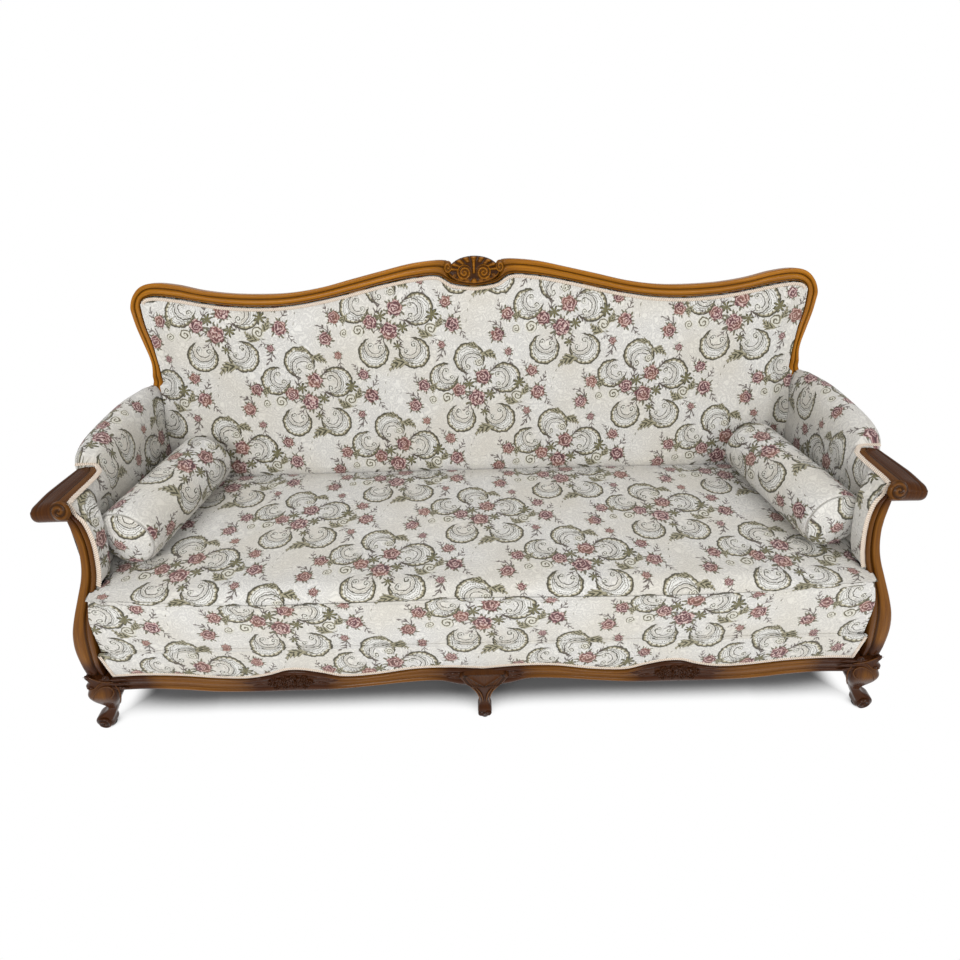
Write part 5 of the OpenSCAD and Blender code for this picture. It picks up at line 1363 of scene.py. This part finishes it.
class SOFA_OT_arm_wood(bpy.types.Operator):
    """Models the arm stumps and the hand rests with their scrolled knuckles"""
    bl_idname = "sofa.arm_wood"
    bl_label = "Arm wood"

    def execute(self, context):
        sides(self.stump)
        sides(self.hand_rest)
        return {"FINISHED"}

    def stump(self, side, name):
        def place(u, v):
            z = lerp(RAIL_Z, STUMP_TOP, v)
            w, d = STUMP_SECTION(u)
            return at(side * lerp(stump(z, 2), stump(z, 1), w), stump(z, 3) + d * STUMP_T, z)

        def stain(u, v):
            w = STUMP_SECTION(u)[0]
            middle = ease((v - 0.06) / 0.10) * ease((1.0 - v) / 0.12)
            return 1.0 - (0.24 + 0.18 * ease((w - 0.40) / 0.10)) * middle

        # groove marks the moulding's groove and the foot on the rail for painted shade
        post = grid_piece(f"arm_stump_{name}_wood", 72, 150, place, closed=True, capped=True,
                          pattern=lambda u, v: (v * 0.47, u * 0.2),
                          groove=lambda u, v: bump(STUMP_SECTION(u)[0], 0.39, 0.045)
                              * (STUMP_SECTION(u)[1] < 0.4)
                              + 0.8 * bump(v, 0.012, 0.008), stain=stain)
        dress(post, "dark_walnut", [f"arm_stump_{name}"])

    def hand_rest(self, side, name):
        s_rear = HAND_S + HAND_L
        s_knuckle = HAND_S + KNUCKLE_R
        turn = np.linspace(-math.pi / 2 - 0.75, math.pi / 2, 18)
        nose = [(s_knuckle - KNUCKLE_R * math.cos(a), ARM_Z - KNUCKLE_R + KNUCKLE_R * math.sin(a))
                for a in turn]
        top = [(lerp(s_knuckle, s_rear, t), ARM_Z) for t in np.linspace(0.08, 0.97, 14)]
        under = [(lerp(s_rear, s_knuckle + KNUCKLE_R * 0.75, t), ARM_Z - HAND_T)
                 for t in np.linspace(0.03, 1, 12)]
        profile = Outline(nose + top + [(s_rear, ARM_Z - 0.004), (s_rear, ARM_Z - HAND_T + 0.004)] + under,
                          rounds=1)

        def outer(s):
            return curve(HAND_PLAN, s, 1)

        def inner(s):
            return curve(HAND_PLAN, s, 2)

        def place(u, v):
            s, z = profile(u)
            edge = np.minimum(v, 1 - v)
            turned = np.where(v > 0.5, 0.14, 0.06)
            shrink = (np.where(v > 0.5, 0.0060, 0.0035)
                      * (1 - np.sqrt(1 - (1 - np.clip(edge / turned, 0, 1)) ** 2)))
            upper = ease((z - ARM_Z + 0.012) / 0.008)
            groove = (0.0022 * bump(v, 0.30, 0.035) + 0.0012 * bump(v, 0.80, 0.03)) * upper
            slope = upper * 0.0035 * ease((v - 0.36) / 0.6)
            high = np.clip((z - ARM_Z) / (2 * KNUCKLE_R) + 1, 0, 1)
            slope = slope + 0.0050 * high * ease((v - 0.3) / 0.7) * ease((s_knuckle + 0.050 - s) / 0.060)
            centre_z = ARM_Z - HAND_T / 2
            on_nose = s < s_knuckle
            back_in = np.where(on_nose, (s_knuckle - s) / KNUCKLE_R, -ease((s - s_rear + 0.03) / 0.02))
            down_in = np.where(on_nose, (z - ARM_Z + KNUCKLE_R) / KNUCKLE_R, np.sign(z - centre_z))
            return at(side * lerp(inner(s), outer(s), v), s + shrink * back_in,
                      z - down_in * shrink - groove - slope)

        # Painted shade in the two grooves, and a painted highlight on the inner strip, which is stained
        # lighter
        board = grid_piece(f"hand_board_{name}", 110, 44, place, closed=True, capped=True, smooth=50,
                           pattern=lambda u, v: (u * 0.42, v * 0.07),
                           groove=lambda u, v: bump(v, 0.30, 0.03) + 0.5 * bump(v, 0.80, 0.025),
                           stain=lambda u, v: 0.80 + 0.15 * ease((v - 0.30) / 0.05))
        parts = [board]
        for x, facing in ((0.8925, -1), (0.9742, 1)):
            low = 0.004 * (facing > 0)
            face = Face((side * x, Y_FRONT + s_knuckle, ARM_Z - KNUCKLE_R - low), (0, -1, 0), (0, 0, 1))
            face.out = np.array([side * facing * 1.0, 0, 0])
            parts.append(volute(f"knuckle_{name}_{facing}", face, KNUCKLE_R * 0.94 - 2.4 * low, 0.0035, 1.9,
                                1, stain=0.9))
        face = Face((side * 0.9040, Y_FRONT + HAND_S + 0.0035, 0.6540), (side * 1.0, 0, 0), (0, 0.45, 1))
        parts.append(volute(f"scroll_{name}", face, 0.0225, 0.0075, 1.8, side, stain=0.75))
        dress(joined(f"hand_rest_{name}_carved", parts), "dark_walnut",
              [f"hand_rest_{name}"])


# Upholstery


def resampled(path, normal, count):
    """A path and its normals read anew at even steps, with the corners rounded."""
    run = run_along(path)
    at_run = np.linspace(0, run[-1], count)
    path = read_at(at_run, run, path)
    for _ in range(8):
        path[1:-1] = (path[:-2] + path[1:-1] * 2 + path[2:]) / 4
    return path, read_at(at_run, run, normal)


def gimp_strip(name, path, normal, width=GIMP_W, loop=0.006):
    """A braid along a path of points, standing proud along the normals. Its edges are scalloped."""
    path, normal = np.asarray(path, float), np.asarray(normal, float)
    run = run_along(path)
    total = run[-1]
    ahead = np.gradient(path, axis=0)
    ahead /= np.linalg.norm(ahead, axis=1)[:, None]
    across = np.cross(normal, ahead)
    across /= np.linalg.norm(across, axis=1)[:, None]
    count = max(int(total / loop) * 6, 12)

    def place(u, v):
        along = v * total
        w = 2 * u - 1
        wave = TAU * along / loop
        half = width / 2 * (1 - 0.10 + 0.10 * np.cos(wave + np.pi * (w > 0)))
        rise = (GIMP_T
                * (0.72 * (1 - np.abs(w) ** 4)
                   + 0.22 * bump(np.abs(w), 0.55, 0.2) * np.cos(wave + np.pi * (w > 0))
                   + 0.12 * bump(w, 0, 0.2)))
        return (read_at(along, run, path) + (half * w)[:, None] * read_at(along, run, across)
                + rise[:, None] * read_at(along, run, normal))

    return grid_piece(name, 12, count, place, wall=0.0006, toward=-normal.mean(axis=0), smooth=70,
                      pattern=lambda u, v: (v * total, u * width))


class SOFA_OT_back(bpy.types.Operator):
    """Models the back pad, the gimp round it and the outside cover"""
    bl_idname = "sofa.back"
    bl_label = "Back upholstery"

    def execute(self, context):
        foot = -BACK_L * 0.10

        def half(up):
            wide = arm_panel(BACK_Z + up * math.cos(LEAN)) - 2 * SOFT
            return lerp(wide, post_in(up) - SOFT, ease((up / BACK_L - ARM_LAP[0] + 0.020) / 0.018))

        def edge(p):
            return crest_under(np.minimum(np.abs(p) * HALF * 0.881, HALF * 0.880)) - 1.9 * SOFT

        def rise(d):
            return ease((d - RIM) / (RIM * 4))

        def spot(u, v):
            p = crowded(u, 0.93)
            t = lerp(v, v**0.8, 0.5)
            up = lerp(foot, edge(p), t)
            return p, up, edge(p)

        def place(u, v):
            p, up, top = spot(u, v)
            side = (1 - np.abs(p)) * half(up)
            swell = rise(side) * rise(up - foot + RIM) * rise(top - up)
            x = p * half(up)
            pull = (0.0007 * np.cos(x / 0.019) * bump(top - up, 0.030, 0.016)
                    + 0.0006 * np.cos(up / 0.017) * bump(side, 0.030, 0.016))
            soft = 0.0012 * np.sin(x * 9.1 + 1) * np.sin(up * 14.3 + 0.6) * swell
            return on_back(x, RIM_T + BACK_CROWN * swell + pull + soft, up)

        pad = grid_piece("back_pad_cloth", context.scene.sofa_detail.cloth_steps, 80, place, wall=PAD_IN,
                         smooth=60,
                         pattern=lambda u, v: (spot(u, v)[0] * half(spot(u, v)[1]) - REPEAT / 2,
                                               spot(u, v)[1]))
        dress(pad, "rose_jacquard", ["back_pad"])

        u = np.linspace(-CREST_LAST + 1.4, CREST_LAST - 1.4, 400)
        xi, ui = crest_edge(u, True)
        x, up = np.sign(u) * xi, ui
        dx, du = np.gradient(x), np.gradient(up)
        length = np.hypot(dx, du)
        x, up = x + du / length * BACK_GIMP_PLACE, up - dx / length * BACK_GIMP_PLACE
        path = on_back(x, RIM_T + 3 * FIT, up)
        normal = np.tile([0, -math.cos(LEAN), math.sin(LEAN)], (len(x), 1))
        strip = gimp_strip("gimp_back_braid", path, normal, loop=context.scene.sofa_detail.gimp_loop)
        dress(strip, "gimp_braid", ["gimp_back"])
        self.cover()
        return {"FINISHED"}

    def cover(self):
        inset = CREST_T / 2
        stations = np.linspace(0, CREST_LAST, 160)
        xo, uo = crest_edge(stations, False)
        xo = xo - inset * ease((xo - HALF * 0.5) / (HALF * 0.3))
        uo = uo - inset
        behind = CREST_T + FIT + COVER_T
        foot = (SIDE_TOP + 2 * FIT - BACK_Z + behind * math.sin(LEAN)) / math.cos(LEAN)
        low = float(post_in(0)) - SOFT

        def top(x):
            return np.interp(np.abs(x), xo, uo)

        def reach(up):
            side_up = [foot, 0.0003, 0.1 * BACK_L, 0.3 * BACK_L, 0.45 * BACK_L, 0.52 * BACK_L, 0.6 * BACK_L,
                       0.68 * BACK_L, 0.76 * BACK_L]
            side_x = ([low, low]
                      + [HALF * float(curve(POST_HIGH, q, 2)) - inset / 2
                         for q in (0.1, 0.3, 0.45, 0.52, 0.6, 0.68, 0.76)])
            return np.interp(up, side_up, side_x)

        def spot(u, v):
            p = crowded(u, 0.95)
            up = lerp(foot, top(p * HALF * 0.885), v)
            return p * np.minimum(reach(up), HALF * 0.895), up

        def place(u, v):
            x, up = spot(u, v)
            rim = np.minimum(np.minimum(1 - np.abs(2 * u - 1), v), 1 - v)
            puff = 0.0045 * ease(rim / 0.25)
            return on_back(x, -(CREST_T + FIT + puff), up)

        cover = grid_piece("back_cover_cloth", 110, 50, place, wall=COVER_T * 0.8, smooth=60,
                           pattern=lambda u, v: (spot(u, v)[0] - REPEAT / 2, spot(u, v)[1]))
        dress(cover, "rose_jacquard", ["back_cover"])


class SOFA_OT_seat(bpy.types.Operator):
    """Models the seat pad, its border and welts, the apron and the gimp along the rail"""
    bl_idname = "sofa.seat"
    bl_label = "Seat upholstery"

    def execute(self, context):
        steps = context.scene.sofa_detail.cloth_steps
        self.pad(steps)
        self.border(steps)
        self.apron()
        return {"FINISHED"}

    def pad(self, steps):
        under = SEAT_Z - 0.075
        s_roll = BORDER_S + SEAT_ROLL
        s_rear = float(back_s(BACK_CROWN + FIT, SEAT_Z * 0.925))
        step = BORDER_S + BORDER_T + FIT
        # Where the roll, the top, the rear, the underside and the step end, in shares of the profile
        marks = [0.0, 0.16, 0.56, 0.64, 0.90, 1.0]

        def profile(p, u):
            x = p * SEAT_HALF
            fall = 0.3 * SEAT_CROWN * np.abs(p) ** 24
            z0 = welt_z(p) + WELT_R + 0.0005
            edge_z = seat_top(x, s_roll) - fall
            a = np.clip(u / marks[1], 0, 1) * np.pi / 2
            s = BORDER_S + SEAT_ROLL * (1 - np.cos(a))
            z = lerp(z0, edge_z, np.sin(a))
            t = np.clip((u - marks[1]) / (marks[2] - marks[1]), 0, 1)
            s = np.where(u > marks[1], lerp(s_roll, s_rear, t), s)
            z = np.where(u > marks[1], seat_top(x, s) - fall - SEAT_CROWN * ease((t - 0.9) / 0.1), z)
            t = np.clip((u - marks[2]) / (marks[3] - marks[2]), 0, 1)
            z = np.where(u > marks[2], lerp(z, under, t), z)
            t = np.clip((u - marks[3]) / (marks[4] - marks[3]), 0, 1)
            s = np.where(u > marks[3], lerp(s_rear, step, t), s)
            z = np.where(u > marks[3], under, z)
            t = np.clip((u - marks[4]) / (marks[5] - marks[4]), 0, 1)
            s = np.where(u > marks[4], np.where(t < 0.5, step, lerp(step, BORDER_S, (t - 0.5) * 2)), s)
            z = np.where(u > marks[4], lerp(under, z0, np.clip(t * 2, 0, 1)), z)
            return s, z

        def place(u, v):
            p = crowded(v, 0.9)
            s, z = profile(p, u)
            edge = ease((np.abs(p) - 0.90) / 0.10)
            corner = 1 - np.clip((s - BORDER_S) / 0.022, 0, 1)
            swell = 0.009 * ease((0.056 - s) / 0.012) - 0.004 * (1 - np.sqrt(1 - corner**2))
            x = p * (arm_in(s - 0.012, z) - SOFT + swell * edge)
            lip = np.clip((np.abs(p) - 0.983) / 0.017, 0, 1)
            z = z - 0.008 * (1 - np.sqrt(1 - lip**2)) * (u < marks[2]) * ease(u / marks[1])
            top = (u > marks[1]) & (u < marks[2])
            soft = 0.0016 * np.sin(x * 7.3 + 0.4) * np.sin(s * 11.0 + 0.5) + 0.0008 * np.sin(x * 17 + s * 9)
            puff = np.where(top, soft * ease((s - s_roll) / 0.05) * ease((s_rear - s) / 0.05), 0)
            return at(x, s, z + puff)

        def cloth(u, v):
            p = crowded(v, 0.9)
            s, z = profile(p, u)
            x = p * (arm_in(s - 0.012, z) - SOFT)
            rolled = SEAT_ROLL * np.clip(u / marks[1], 0, 1) * np.pi / 2
            along = np.where(u > marks[1], s - s_roll, rolled - SEAT_ROLL * np.pi / 2)
            return x + REPEAT / 2, along - SEAT_START

        pad = grid_piece("seat_pad_cloth", 110, steps, place, closed=True, capped=True, smooth=60,
                         pattern=cloth)
        dress(pad, "rose_jacquard", ["seat_pad"])

    def border(self, steps):
        def half(z):
            return (stump(z, 2)
                    - lerp(GUTTER, SOFT, ease((z - BORDER_FOOT) / (SEAT_Z - SEAT_ROLL - BORDER_FOOT))))

        def place(u, v):
            p = 2 * u - 1
            z = lerp(BORDER_FOOT, welt_z(p) - FIT, v)
            x = p * half(z)
            bulge = 0.0035 * np.sin(np.pi * v) ** 0.6 + 0.0008 * np.sin(x * 15.0) * np.sin(np.pi * v)
            return at(x, BORDER_S + 0.0030 - bulge, z)

        def cloth(u, v):
            z = lerp(BORDER_FOOT, welt_z(2 * u - 1), v)
            return (2 * u - 1) * half(z), z - BORDER_START

        border = grid_piece("seat_border_cloth", steps, 24, place, wall=BORDER_T - 0.006, smooth=60,
                            pattern=cloth)
        dress(border, "rose_jacquard", ["seat_border"])

        def welt(name, z_of, s, reach, nodes, sunk=0.002):
            def place(u, v):
                p = 2 * v - 1
                a = u * TAU
                end = np.clip((1 - np.abs(p)) / 0.006, 0, 1)
                r = WELT_R * np.sqrt(1 - (1 - end) ** 2) * (1 + 0.04 * np.sin(v * 900))
                back = 0.010 * ease((np.abs(p) - 0.975) / 0.025)
                return at(p * reach, s + sunk + back - 0.8 * r * np.cos(a), z_of(p) + r * 1.15 * np.sin(a))

            cord = grid_piece(name, 14, 240, place, closed=True, capped=True, smooth=80,
                              pattern=lambda u, v: ((2 * v - 1) * reach,
                                                    z_of(2 * v - 1) - BORDER_START
                                                        + 0.012 * np.sin(TAU * u)))
            dress(cord, "rose_jacquard", nodes)

        welt("seat_welt_upper_cord", lambda p: welt_z(p) + FIT, BORDER_S - WELT_R - FIT,
             float(half(SEAT_Z * 0.968)) - 2 * WELT_R, ["seat_welt_upper"])
        welt("seat_welt_lower_cord", lambda p: BORDER_FOOT - WELT_R - FIT + 0 * p, BORDER_S - FIT,
             float(half(BORDER_FOOT)) - WELT_R, ["seat_welt_lower"], sunk=0.0022)

    def apron(self):
        end = RAIL_HALF - 4 * SOFT
        high = float(stump(APRON_TOP, 2)) - 2 * SOFT

        def place(u, v):
            low = (2 * u - 1) * end
            x = lerp(low, (2 * u - 1) * high, v)
            bow = 0.0025 * np.sin(np.pi * v)
            return at(x, BORDER_S + 0.0005 - bow, lerp(rail_top(low) + FIT, APRON_TOP, v))

        apron = grid_piece("front_apron_cloth", 160, 16, place, wall=APRON_T - 0.001, smooth=60,
                           pattern=lambda u, v: ((2 * u - 1) * end + REPEAT / 2,
                                                 lerp(rail_top((2 * u - 1) * end), APRON_TOP, v)
                                                     - APRON_START))
        dress(apron, "rose_jacquard", ["front_apron"])
        x = np.linspace(-end, end, 400)
        path = at(x, BORDER_S - FIT, rail_top(x) + FIT + GIMP_W / 2)
        parts = [gimp_strip("gimp_rail", path, np.tile([0, -1.0, 0], (len(x), 1)))]
        for side, name in SIDES:
            z = np.linspace(float(rail_top(end)) + GIMP_W, APRON_TOP - 0.001, 40)
            x = side * (np.interp(z, [rail_top(end), APRON_TOP], [end, high]) - GIMP_W * 0.5)
            parts.append(gimp_strip(f"gimp_side_{name}", at(x, BORDER_S - 0.0022, z),
                                    np.tile([0, -1.0, 0], (len(z), 1))))
        dress(joined("gimp_front_braid", parts), "gimp_braid", ["gimp_front"])


class SOFA_OT_arms(bpy.types.Operator):
    """Models the arm pads, their outside covers and the gimp beside the wood"""
    bl_idname = "sofa.arms"
    bl_label = "Arm upholstery"

    foot = SEAT_Z * 0.64
    rail_out = HAND_IN + HALF * 0.009 + ARM_RAIL_T
    top_h = ARM_Z * 0.038

    def execute(self, context):
        sides(self.pad)
        sides(self.cover)
        sides(self.gimp)
        return {"FINISHED"}

    def rear(self, z):
        low = BACK_Y - Y_FRONT + DEPTH * curve(POST_LOW, np.clip(z / BACK_Z, 0, 1), 3) - 2 * SOFT
        return np.where(z > BACK_Z, back_s(-PAD_IN, z) - FIT, low)

    def s_of(self, t, z):
        return lerp(stump_back(np.minimum(z, STUMP_TOP)) + SOFT, self.rear(z), t)

    def cover_x(self, t, z):
        rail_x = lerp(HALF * 0.959, HALF * 0.924, t)
        lip = self.rail_out + COVER_T + 3 * FIT
        far = lerp(rail_x, lip, ease((z - SIDE_TOP) / (STUMP_TOP - 0.046 - SIDE_TOP)))
        return lerp(stump(z, 1), far, ease(t / 0.14))

    def pad(self, side, name):
        panel_share, roll_share, rows = 0.42, 0.30, 90
        first = self.s_of(0, STUMP_TOP)
        step = float((HAND_S + HAND_L + 2 * SOFT - first) / (self.rear(STUMP_TOP) - first))

        def spot(u, v):
            # Eleven rows lap over the stump, and two stand close together at the hand rest's rear end
            lap = v < 11.5 / rows
            t = np.interp(v, [12 / rows, 37 / rows, 38 / rows, 1], [0, step - 0.002, step, 1])
            behind = t > step - 0.001
            share = np.clip(v * rows / 11, 0, 1)

            def s_at(z):
                low = np.minimum(z, STUMP_TOP)
                return np.where(lap, lerp(stump(low, 3) + REBATE, stump_back(low) + 0.8 * SOFT, share),
                                self.s_of(t, z))

            x0 = arm_face(s_at(STUMP_TOP), STUMP_TOP)
            bow = curve(ARM_BOW, t)
            start = np.sqrt(np.clip(1 - (1 - np.clip((t - step) / 0.03, 0, 1)) ** 2, 0, 1))
            end = ease((t - 0.92) / 0.08)
            spread = ease((t - step + 0.012) / 0.008)
            wide = self.rail_out + COVER_T + 4 * FIT + HALF * 0.030 * bow - 0.004 * (1 - start)
            far = np.where(behind, wide, lerp(HAND_IN - 2 * FIT, wide, spread))
            tall = np.where(behind,
                            ARM_Z + self.top_h - STUMP_TOP + HALF * 0.0084 * bow - 0.004 * (1 - start)
                                - 0.006 * end,
                            HAND_T - 2 * SOFT - 0.006 * spread)
            mid = lerp(x0, far, lerp(0.8, 0.45, np.where(behind, 1.0, spread)))
            inner = np.clip(u / panel_share, 0, 1)
            z = lerp(np.where(lap, FLANGE_FOOT, self.foot), STUMP_TOP + np.where(lap, FIT, -FIT), inner)
            x = arm_face(s_at(z), z)
            a = np.clip((u - panel_share) / roll_share, 0, 1) * np.pi
            over = u > panel_share
            x = np.where(over, mid - np.where(a < np.pi / 2, mid - x0, far - mid) * np.cos(a), x)
            z = np.where(over, STUMP_TOP + np.where(lap, FIT, 0) + tall * np.sin(a) ** 0.85, z)
            down = np.clip((u - panel_share - roll_share) / (1 - panel_share - roll_share), 0, 1)
            low = lerp(STUMP_TOP - FIT, np.where(lap, FLANGE_FOOT, self.foot), down)
            slab = np.minimum(self.rail_out - ARM_RAIL_T - FIT, self.cover_x(t, low) - COVER_T - FIT)
            slab = np.where(lap, stump(low, 2) - 3 * FIT, slab)
            gone = u > panel_share + roll_share
            x = np.where(gone, slab, x)
            z = np.where(gone, low, z)
            arc = far - x0 + 1.2 * tall
            return x, s_at(z), z, over, gone, arc

        def place(u, v):
            x, s, z, over, gone, _ = spot(u, v)
            calm = ease((s - 0.16) / 0.05) * ~gone
            soft = 0.0016 * np.sin(s * 23 + 1) * np.sin(z * 19) * calm
            full = (0.006 * np.sin(np.pi * np.clip((z - 0.46) / 0.18, 0, 1)) * calm * ~over
                    * ease((0.60 - s) / 0.08))
            stuffed = ease((z - 0.540) / 0.100) * ease((s - 0.080) / 0.10) * ease((0.40 - s) / 0.16) * ~gone
            full = full + 0.012 * stuffed * ease((HALF * 0.905 - x) / 0.012)
            return at(side * (x + np.where(over, 0, soft) - full), s, z)

        def cloth(u, v):
            _, s, z, over, _, arc = spot(u, v)
            over_run = STUMP_TOP + np.clip((u - panel_share) / roll_share, 0, 1) * arc
            along = s + 0.028 * ease((s - HAND_S - HAND_L) / 0.002)
            return along * side + 0.12, np.where(over, over_run, z) - 0.50

        pad = grid_piece(f"arm_pad_{name}_cloth", 100, rows, place, closed=True, capped=True, smooth=55,
                         pattern=cloth)
        dress(pad, "rose_jacquard", [f"arm_pad_{name}"])

    def cover(self, side, name):
        def place(u, v):
            z = lerp(SIDE_TOP + FIT, STUMP_TOP - FIT, v)
            return at(side * self.cover_x(u, z), self.s_of(u, z), z)

        cover = grid_piece(f"arm_cover_{name}_cloth", 70, 50, place, wall=COVER_T, toward=(-side, 0, 0),
                           smooth=60,
                           pattern=lambda u, v: (u * 0.56, lerp(SIDE_TOP, STUMP_TOP, v)))
        dress(cover, "rose_jacquard", [f"arm_cover_{name}"])

    def gimp(self, side, name):
        wide = ARM_GIMP_W
        z = np.linspace(FLANGE_FOOT + SOFT, STUMP_TOP + 0.012, 60)
        path = at(side * (stump(z, 2) - FIT - wide / 2 + 0.001), stump(z, 3) + REBATE - FIT, z)
        bends = [(0.8875, 0.0970, 0.6560), (0.8905, 0.0985, 0.6645)]
        corner = [at(side * x, s, z)[None] for x, s, z in bends]
        path = np.vstack([path] + corner)
        normal = np.tile([0, -1.0, 0.15], (len(path), 1))
        parts = [gimp_strip(f"gimp_stump_{name}", *resampled(path, normal, 90), width=wide)]
        s = np.linspace(0.100, 0.236, 70)
        path = at(side * (curve(HAND_PLAN, s, 2) - wide / 2), s, ARM_Z - 0.0010 + 0 * s)
        bends = [(0.8990, 0.2455, 0.002), (0.9120, 0.2485, 0.004), (0.9480, 0.2455, 0.004)]
        corner = [at(side * x, s, ARM_Z + z)[None] for x, s, z in bends]
        path = np.vstack([path[:-6]] + corner)
        normal = np.tile([-side * 0.30, -0.15, 0.94], (len(path), 1))
        parts.append(gimp_strip(f"gimp_hand_{name}", *resampled(path, normal, 120), width=wide))
        dress(joined(f"gimp_arm_{name}_braid", parts), "gimp_braid", [f"gimp_arm_{name}"])


class SOFA_OT_bolsters(bpy.types.Operator):
    """Models the two loose bolsters"""
    bl_idname = "sofa.bolsters"
    bl_label = "Bolsters"

    def execute(self, context):
        sides(self.bolster)
        return {"FINISHED"}

    def bolster(self, side, name):
        yaw = math.radians(9.8)
        s0 = DEPTH * 0.436
        reach = SEAT_HALF - 4 * SOFT
        x0 = reach - BOLSTER_R / math.cos(yaw) - (s0 - DEPTH * 0.20) * math.tan(yaw)
        z0 = float(seat_top(x0 - BOLSTER_R * 0.2, s0)) + BOLSTER_R / math.cos(SEAT_TILT) - FIT
        turn = np.array(Matrix.Rotation(yaw - math.radians(1.2), 3, "Z")
                        @ Matrix.Rotation(-SEAT_TILT, 3, "X"))
        half = BOLSTER_L / 2
        soft = BOLSTER_R * 0.30
        arc = np.linspace(0, math.pi / 2, 12)
        profile = [(BOLSTER_R, 0.0), (BOLSTER_R, half * 0.35), (BOLSTER_R, half * 0.62)]
        profile += [(BOLSTER_R * 0.995 - soft + soft * math.cos(a),
                     half - BOLSTER_R * 0.14 - soft + soft * math.sin(a)) for a in arc]
        profile += [(BOLSTER_R * 0.3, half - BOLSTER_R * 0.05), (0.0, half)]
        r_of, y_of = np.array(profile).T
        run = np.concatenate([[0], np.cumsum(np.hypot(np.diff(r_of), np.diff(y_of)))])
        reach_len = run[-1]

        def spot(v):
            t = 2 * v - 1
            along = np.abs(t) * reach_len
            return np.interp(along, run, r_of), np.sign(t) * np.interp(along, run, y_of), t * reach_len

        def place(u, v):
            r, y, _ = spot(v)
            a = u * TAU
            pleat = (0.012 * np.cos(22 * a) * ease((np.abs(2 * v - 1) - 0.80) / 0.06)
                     * ease((1 - np.abs(2 * v - 1)) / 0.08))
            lump = 0.010 * np.sin(3 * a + 7 * v) * np.sin(9 * v)
            r = r * (1 + pleat * 0.6 + lump * 0.5)
            y = y * 1.12 - 0.001
            local = stack(r * np.cos(a), y, r * np.sin(a))
            out = local @ turn.T + np.array([x0 + 0.008, Y_FRONT + s0, z0 + 0.001])
            return out * np.array([side, 1, 1])

        def cloth(u, v):
            r, _, run_at = spot(v)
            a = u * TAU
            disc = r < BOLSTER_R * 0.93
            return (np.where(disc, side * r * np.cos(a) + 0.16, side * (1 / 3 - u) * REPEAT),
                    np.where(disc, r * np.sin(a) + 0.08, run_at - 0.04))

        piece = grid_piece(f"bolster_{name}_cloth", 96, 110, place, closed=True, smooth=70, pattern=cloth)
        dress(piece, "rose_jacquard", [f"bolster_{name}"], body=f"bolster_{name}")


class SOFA_OT_hidden(bpy.types.Operator):
    """Gives the hidden frame, the springs and the webbing their finishes"""
    bl_idname = "sofa.hidden"
    bl_label = "Hidden pieces"

    def execute(self, context):
        finishes = {"rear_rail": "stained wood", "side_rail_left": "stained wood",
                    "side_rail_right": "stained wood", "glides": "glide", "seat_webbing": "jute",
                    "back_webbing": "jute", "seat_hessian": "jute", "seat_springs": "steel",
                    "edge_wire": "steel", "dust_cover": "dust cloth"}
        for name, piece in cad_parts.items():
            if piece.hide_render:
                continue
            material = finish(finishes.get(name, "frame wood"))
            piece.data.materials.clear()
            piece.data.materials.append(material)
        return {"FINISHED"}


class SOFA_PT_panel(bpy.types.Panel):
    """Lists the sofa's groups of pieces"""
    bl_idname = "SOFA_PT_panel"
    bl_label = "Cabriole sofa"
    bl_space_type = "VIEW_3D"
    bl_region_type = "UI"
    bl_category = "Sofa"

    def draw(self, context):
        for operator in PIECES:
            self.layout.operator(operator.bl_idname)


PIECES = (SOFA_OT_stage, SOFA_OT_crest, SOFA_OT_front_rail, SOFA_OT_rear_posts, SOFA_OT_legs,
          SOFA_OT_arm_wood, SOFA_OT_back, SOFA_OT_seat, SOFA_OT_arms, SOFA_OT_bolsters, SOFA_OT_hidden)
CLASSES = (SofaCamera, SofaDetail) + PIECES + (SOFA_PT_panel,)


def register():
    for item in CLASSES:
        bpy.utils.register_class(item)
    bpy.types.Scene.sofa_camera = bpy.props.PointerProperty(type=SofaCamera)
    bpy.types.Scene.sofa_detail = bpy.props.PointerProperty(type=SofaDetail)


def unregister():
    del bpy.types.Scene.sofa_detail
    del bpy.types.Scene.sofa_camera
    for item in reversed(CLASSES):
        bpy.utils.unregister_class(item)


def main():
    register()
    for operator in PIECES:
        group, name = operator.bl_idname.split(".")
        getattr(getattr(bpy.ops, group), name)()


if __name__ == "__main__":
    main()
